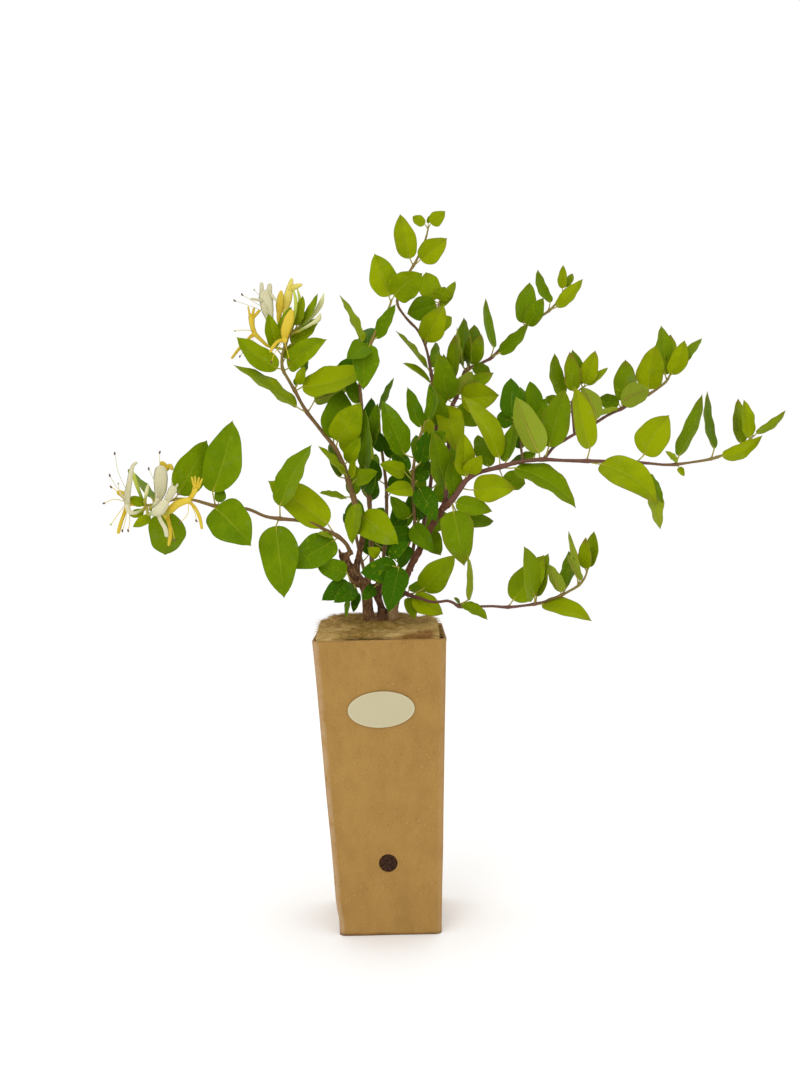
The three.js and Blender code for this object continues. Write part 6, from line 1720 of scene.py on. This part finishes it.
def barkMaterial():
    material, make = newMaterial("old bark")
    spot = make.objectPlace()
    x, z = spot.part(0), spot.part(2)
    shreds = make.noise(spot * (1.0, 1.0, 0.22), 1.1, 4.0, 0.65)
    patch = make.noise(spot, 0.11, 3.0)
    cracks = make.cells(spot * (1.0, 1.0, 0.3), 0.8)
    colour = make.mix(patch.ease(0.35, 0.65), barks["brown"], barks["dark"])
    colour = make.mix(shreds.ease(0.52, 0.68) * 0.8, colour, barks["flake"])
    colour = make.mix(x.ease(10.0, 24.0) * 0.65, colour, barks["limb"])
    low = 1 - z.ease(238.0, 256.0)
    neck = 1 - (x + 1.5).one("ABSOLUTE").ease(2.5, 4.5)
    colour = make.mix(low * neck * 0.6, colour, barks["dark"])
    colour = make.mix(low * x.ease(2.5, 5.0) * 0.55, colour, barks["flake"])
    colour = make.mix((1 - cracks.ease(0.02, 0.25)) * 0.35, colour, barks["dark"])
    finishMaterial(make, colour, shreds * 0.15 + 0.78, 0.2, (shreds * 1.4 + cracks * 0.5, 0.8))
    return material


# Old wood: limbs and knots fused into one skin, with fissured bark.
wood = {
    "limbs": [
        [[-4, 214, 0, 10.8], [-4, 226, 0, 11], [-4, 232, 0, 10.4], [-4, 236.5, 0, 8]],
        [
            [-10.5, 230, -2, 5.4], [-11.6, 236, -3, 4.6], [-12.3, 242, -3, 4.2], [-12.5, 248, -3, 4.1],
            [-13, 254, -2, 4.1], [-15, 262, -2, 4], [-20, 267, -3, 3.9], [-25, 273, -4, 3.8],
            [-28.5, 280, -5, 3.8], [-30.8, 286.5, -5, 3.7],
        ],
        [
            [-19, 266, -1, 2.9], [-20.5, 275, -2, 2.6], [-18.5, 285, -2, 2.4], [-16, 295, -2, 2.3],
            [-14.5, 303, -2, 2.1],
        ],
        [[-31.5, 283, -6, 2], [-33, 288, -6, 1.2], [-34, 290.5, -6, 0.7]],
        [
            [4, 230, -3, 5.2], [6.5, 236.5, -4, 4.6], [7.6, 243, -4, 3.7], [10, 250, -3, 3.1],
            [13, 255, -2, 3.2], [16, 262, -2, 3], [19, 270, -2, 3], [23, 278, -3, 2.9],
            [27, 285, -3, 2.8], [30, 290, -3, 2.7], [38, 305, -4, 2.5], [46, 318, -4, 2.6],
            [48.5, 321.3, -4, 2.9],
        ],
        [
            [-0.5, 229, 3, 6.2], [-0.5, 239, 3, 5.2], [-2, 244, 2, 2.9], [-3.5, 251, 1, 2.4],
            [-4, 256, 1, 3.2], [-4, 262.5, 2, 4.2],
        ],
        [[-3, 246, 1, 1.9], [-6.5, 253, 0, 1.7], [-10, 261, 0, 1.8], [-12.5, 266, -1, 1.6]],
        [[-1.5, 236, -4, 3.4], [-1.5, 243, -5, 2.2]],
    ],
    "knots": [
        [-15, 262, -1, 4.4], [-20, 268, -2, 4.1], [13, 255, -3, 4.1], [45.5, 316, -5, 3.3],
        [-27, 277, -3, 4.0],
    ],
    "step": 1.6,
    "carryStep": 6,
    "stub": 1.9,
    "swell": 0.13,
    "skin": 0.62,
    "fissures": 0.42,
    "sides": 16,
}
carriedByStems = dict.fromkeys(("leafy_stem_right_shoot", "leafy_stem_right"), "leafy_stem_long_right")


def stubPlaces(rings, path):  # from a carrier's middle line to where a path begins
    start = path.at(0)[0]
    tangent = unit(path.at(0.01)[0] - start)
    bend = start - tangent * wood["stub"]
    return [nearestOn(rings, bend), bend, start + tangent * 0.4]


def addKnot(sketch, x, z, depth, radius):
    shares = np.linspace(-0.96, 0.96, 9)
    axis = unit(np.array([0.3, 0.2, 1.0]))
    points = [seenAt(x, z, depth) + axis * radius * s for s in shares]
    sketch.line(points, [radius * math.sqrt(1 - s * s) for s in shares])


def makeWood(stemPaths):
    sketch = Sketch(["role", "girth"])
    limbs = []
    for rows in wood["limbs"]:
        path = seenPath(rows)
        limbs.append([p for p, _ in path.line(wood["carryStep"])])
        points, girths = zip(*path.line(wood["step"]))
        girths = [g * (1 + wood["swell"] * noise.noise(Vector(p) * 0.16)) for p, g in zip(points, girths)]
        sketch.line(points, girths)
    for knot in wood["knots"]:
        addKnot(sketch, *knot)
    for name, path in stemPaths.items():
        if name not in carriedByStems:
            start = path.at(0)[0]
            nearest = min(limbs, key=lambda line: np.linalg.norm(nearestOn(line, start) - start))
            radius = path.radii[0] + 0.3
            sketch.line(stubPlaces(nearest, path), [radius + 0.5, radius + 0.2, radius])
    piece = sketch.piece("woody_stems")
    bark = barkMaterial()
    growFrom(piece, tubeTree(), {"Sides": wood["sides"], "Roughness": 0.0, "Material": bark})
    skin = piece.modifiers.new("one skin", "REMESH")
    skin.mode, skin.voxel_size = "VOXEL", wood["skin"] * mm
    skin.use_smooth_shade = True
    bakeModifiers(piece)
    mesh = piece.data
    for vertex, normal in zip(mesh.vertices, [v.normal.copy() for v in mesh.vertices]):
        spot = vertex.co / mm
        shreds = noise.fractal(Vector((spot.x * 0.9, spot.y * 0.9, spot.z * 0.16)), 1.0, 2.0, 4)
        vertex.co += normal * (shreds * wood["fissures"] * mm)
    mesh.update()
    paint(piece, bark)
    place(piece, "bark", "woody_base")


# Leafy stems: tubes for the stem and its stalks, thin shells for the blades.
stems = {
    "step": 2.2,
    "sides": 10,
    "roughness": 0.22,
    "thinnest": 0.85,
    "nodeSwell": 0.3,
    "nodeReach": 1.6,
    "tipShares": (0.55, 0.45),  # of its girth at a stem's end, and what the last steps to it add
    "freshFrom": 0.65,
    "hairyFrom": 0.3,
    "plainPurple": 0.25,
    "hairDensity": 0.5,
    "hairLength": 0.75,
    "flushedEdges": 0.45,
    # tone shares for each leaf tone, from painted shade at 0 to painted light at 2, besides young and pale
    "tones": [(0.2, 0.0, 0.0), (0.5, 0.0, 0.0), (1.0, 0.0, 0.0), (0.9, 0.0, 0.8), (0.6, 1.0, 0.0)],
    "shadeAndLightLifts": {  # how much brighter or darker a stem's leaves are: painted light on the outer stems, painted shade on the inner and rear ones
        "top": 0.3,
        "left": 0.16,
        "upper_left": 0.3,
        "low_right": 0.22,
        "right": 0.16,
        "long_right": 0.14,
        "upper_right": 0.08,
        "basal_shoot_left": -0.12,
        "basal_shoot_front": -0.12,
        "centre": -0.12,
        "middle": -0.08,
        "centre_right": -0.1,
        "rear_left": -0.12,
        "rear_right": -0.12,
    },
    "purple": ("long_right", "right", "low_right", "upper_right", "top"),
    "shaded": ("centre", "rear_left", "rear_right", "basal_shoot_left", "basal_shoot_front"),
    "marks": ["role", "girth", "hairy"],
    "bladeMarks": ["shade", "base", "along", "upward", "sideOf", "sideways", "size", "form"],
}
missed = []


def addStem(sketch, path, atPlaces, purple):
    line = path.line(stems["step"])
    points = [p for p, _ in line]
    girths = []
    for i, (point, radius) in enumerate(line):
        near = min((np.linalg.norm(point - p) for p in atPlaces), default=99.0)
        swell = stems["nodeSwell"] * math.exp(-((near / stems["nodeReach"]) ** 2))
        end, more = stems["tipShares"]
        girths.append((radius + swell) * (end + more * min(1.0, (len(line) - 1 - i) / 4)))
    shares = [i / len(line) for i in range(len(line))]
    start = stems["freshFrom"]
    shade = [(purple, 0.6 * max(0.0, (s - start) / (1 - start)), 0.0) for s in shares]
    hairy = [float(i > stems["hairyFrom"] * len(line)) for i in range(len(line))]
    sketch.line(points, girths, shade=shade, hairy=hairy)


def addLeaf(sketch, blade, seed, purple, lift):
    tone, young, pale = stems["tones"][blade["tone"]]
    thin = min(1.0, blade["length"] / 34)
    stalk, base = blade["stalk"], blade["base"]
    sag = np.array([0.0, 0.0, -0.06]) * np.linalg.norm(base - stalk)
    points = [stalk + (base - stalk) * s + sag * 4 * s * (1 - s) for s in (0.0, 0.35, 0.7)]
    girths = [leaves["petiole"] * (0.75 + 0.25 * thin) * g for g in (1.25, 0.9, 0.85)]
    under = leaves["thickness"] + 0.12
    for t in (0.0, 0.08, 0.2, 0.34, 0.48, 0.62, 0.76, 0.88):
        points.append(bladePoint(blade, t, 0.0) - blade["normal"] * under * min(1.0, t * 12))
        girths.append((leaves["midrib"] * thin * (1 - t) ** 0.8 + 0.1) * (1.0 if t > 0 else 1.15))
    shade = [(purple, 0.35, 0.0), (purple, 0.7, 0.0)] + [(0.0, 1.0, 0.0)] * (len(points) - 2)
    sketch.line(points, girths, shade=shade, hairy=0.0)
    flush = (purple > 0.5) * (0.5 + seed / 2) * stems["flushedEdges"]
    # The tone share with the stem's lift carries painted shade and light into the leaf's colour.
    sketch.put(
        base * mm,
        role=2.0,
        shade=(min(max(tone + lift, 0.05), 1.0), max(young, flush), pale),
        base=tuple(base * mm),
        along=tuple(blade["along"]),
        upward=tuple(blade["normal"]),
        sideOf=tuple(blade["side"]),
        sideways=tuple(blade["sideways"]),
        size=(blade["length"] * mm, blade["half"] * mm, blade["slant"]),
        form=(blade["curve"], seed, 0.0),
    )


def makeLeafyStem(name, plan, paths, ovaries, tree, finishes, number):
    short = name.removeprefix("leafy_stem_")
    purple = 1.0 if short in stems["purple"] else stems["plainPurple"]
    lift = stems["shadeAndLightLifts"].get(short, 0.0)
    corners = packedCorners(name)
    sketch = Sketch(stems["marks"], stems["bladeMarks"])
    shoots = [(paths[name], plan["leaves"])]
    shoots += [(seenPath(fork["route"], stems["thinnest"]), fork["leaves"]) for fork in plan.get("forks", [])]
    count = 0
    for path, rows in shoots:
        rings = packedRings(path)
        found = [findBlade(row, rings, corners) for row in rows]
        missed.extend((name, round(miss, 2)) for miss, _ in found if miss > leaves["missed"])
        addStem(sketch, path, [nearestOn(rings, blade["stalk"]) for _, blade in found], purple)
        for _, blade in found:
            count += 1
            seed = (number * 0.37 + count * 0.618) % 1.0
            addLeaf(sketch, blade, seed, purple, lift)
    rings = packedRings(paths[name])
    for other in (stem for stem, carrier in carriedByStems.items() if carrier == name):
        radius = paths[other].radii[0]
        places = stubPlaces(rings, paths[other])
        sketch.line(places, [radius + 0.6, radius + 0.35, radius], shade=(purple, 0.0, 0.0))
    for ovary in ovaries:
        sketch.line(stubPlaces(rings, ovary), [0.75, 1.3, 1.05], shade=(0.0, 1.0, 0.0), hairy=1.0)
    piece = sketch.piece(name + "_foliage")
    values = {
        "Rows": leaves["rows"],
        "Columns": leaves["columns"],
        "Thickness": leaves["thickness"] * mm,
        "Ripple": leaves["ripple"],
        "Sides": stems["sides"],
        "Roughness": stems["roughness"],
        "Hair Density": stems["hairDensity"] * 1e6,
        "Hair Length": stems["hairLength"] * mm,
        "Seed": number + 1,
        "Blade": finishes[0],
        "Stem": finishes[1],
    }
    growFrom(piece, tree, values)
    place(piece, "shaded_leaf" if short in stems["shaded"] else "leaf", name)


# Flowers: a tube, cupped petals and fine threads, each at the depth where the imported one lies.
flowers = {
    "shifts": (0, -3, 3, -6, 6, -9, 9, -12, 12),
    "petalThickness": 0.42,
    "petalStep": 0.9,
    "threadStep": 1.5,
    "tubeStep": 1.0,
    "budTip": 0.22,
    "greenFoot": 0.3,
    "petalRing": [  # across a petal and out of it, once round its edge
        (-1.0, 0.0), (-0.66, 0.7), (-0.33, 1.0), (0.0, 0.8), (0.33, 1.0), (0.66, 0.7), (1.0, 0.0),
        (0.6, -0.7), (0.0, -0.9), (-0.6, -0.7),
    ],
    "cup": 0.2,
    "thread": 0.27,
    "anther": 0.72,
    "antherLength": 2.6,
    "stigma": 0.7,
    "sides": 12,
    "roughness": 0.1,
    "marks": ["role", "girth", "across", "reach", "green", "anther"],
    "slots": {
        "white": "white_petal",
        "yellow": "yellow_petal",
        "pale_yellow": "pale_petal",
        "cream": "pale_bud",
        "green": "green_bud",
    },
}


def findShift(name, bloom):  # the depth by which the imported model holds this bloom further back
    low, high = (np.array(c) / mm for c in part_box(name))
    best = None
    rows = bloom["tube"] + [row for part in bloom["petals"] + bloom["threads"] for row in part]
    for shift in flowers["shifts"]:
        depths = [seenAt(row[0], row[1], row[2] + shift)[1] for row in rows]
        miss = abs((min(depths) + max(depths)) / 2 - (low[1] + high[1]) / 2)
        if best is None or miss < best[0]:
            best = (miss, shift)
    return best[1]


def addPetal(sketch, rows, shift):
    path = seenPath(rows, 0.0, shift)
    length = path.lengths[-1]
    count = max(9, int(length / flowers["petalStep"]))
    ring, thick = flowers["petalRing"], flowers["petalThickness"] / 2
    first = len(sketch.points)
    for i in range(count + 1):
        share = i / count
        point, width = path.at(share)
        along = unit(path.at(min(share + 0.02, 1))[0] - path.at(max(share - 0.02, 0))[0])
        normal = towardViewer(point, along)
        side = np.cross(along, normal)
        blunt = 1.6 * width / length * 0.3  # the share of the petal over which its tip rounds off
        past = max(0.0, (share - 1 + blunt) / blunt)
        half = width / 2 * max(math.sqrt(max(0.0, 1 - past**2)), 0.18)
        for q, n in ring:
            cup = -flowers["cup"] * q * q * half
            sketch.put(point + side * (q * half) + normal * (n * thick + cup), across=q, reach=share)
    last = first + len(ring) * count
    sketch.faces.append(tuple(range(first + len(ring) - 1, first - 1, -1)))
    sketch.faces += bands(len(ring), count + 1, first)
    sketch.faces.append(tuple(range(last, last + len(ring))))


def addThread(sketch, rows, shift, isStyle):
    path = Path([seenAt(x, z, depth + shift) for x, z, depth in rows], [1.0] * 3)
    line = [p for p, _ in path.line(flowers["threadStep"])]
    sketch.line(line, [flowers["thread"]] * len(line), reach=1.0)
    tip, before = line[-1], line[-2]
    axis = unit(unit(tip - before) + np.array([0.35, 0.0, 0.25]))
    long = flowers["stigma"] if isStyle else flowers["antherLength"] / 2
    thick = flowers["stigma"] if isStyle else flowers["anther"]
    shares = np.linspace(-1, 1, 7)
    points = [tip - axis * 0.4 + axis * long * s for s in shares]
    girths = [thick * math.sqrt(max(1 - s * s, 0.05)) for s in shares]
    sketch.line(points, girths, reach=1.0, anther=0.0 if isStyle else 0.92, green=0.7 if isStyle else 0.0)


def makeBloom(name, bloom, tree, finishes):
    shift = findShift(name, bloom)
    sketch = Sketch(flowers["marks"])
    points, girths = zip(*seenPath(bloom["tube"], 0.0, shift).line(flowers["tubeStep"]))
    count, girths = len(points), list(girths)
    if not bloom["petals"]:  # a bud closes to a blunt tip
        for i in range(count):
            left = (count - 1 - i) / max(count * flowers["budTip"], 1)
            girths[i] *= math.sqrt(max(1 - max(0.0, 1 - left) ** 2, 0.12))
    green = [0.8 * max(0.0, 1 - i / (count * flowers["greenFoot"])) for i in range(count)]
    sketch.line(points, girths, reach=[i / count for i in range(count)], green=green)
    for rows in bloom["petals"]:
        addPetal(sketch, rows, shift)
    for i, rows in enumerate(bloom["threads"]):
        addThread(sketch, rows, shift, i == 0 and len(bloom["threads"]) > 2)
    piece = sketch.piece(name + "_flower")
    values = {"Sides": flowers["sides"], "Roughness": flowers["roughness"]}
    growFrom(piece, tree, {**values, "Material": finishes[bloom["colour"]]})
    place(piece, flowers["slots"][bloom["colour"]], name)


def makePlant():
    paths = {name: seenPath(plan["route"], stems["thinnest"]) for name, plan in growth.items()}
    makeWood(paths)
    print("old wood made")
    tree, finishes = leafyStemTree(), (leafMaterial(), stalkMaterial())
    feet = {name: [] for name in growth}
    for name, bloom in blooms.items():
        feet[bloom["stem"]].append(seenPath(bloom["tube"], 0.0, findShift(name, bloom)))
    for number, (name, plan) in enumerate(growth.items()):
        makeLeafyStem(name, plan, paths, feet[name], tree, finishes, number)
    print("leafy stems made, leaves not matched:", missed)
    tubes, tints = tubeTree(), {tint: petalMaterial(tint) for tint in petals["tints"]}
    for name, bloom in blooms.items():
        makeBloom(name, bloom, tubes, tints)
    print("flowers made")


makePlant()
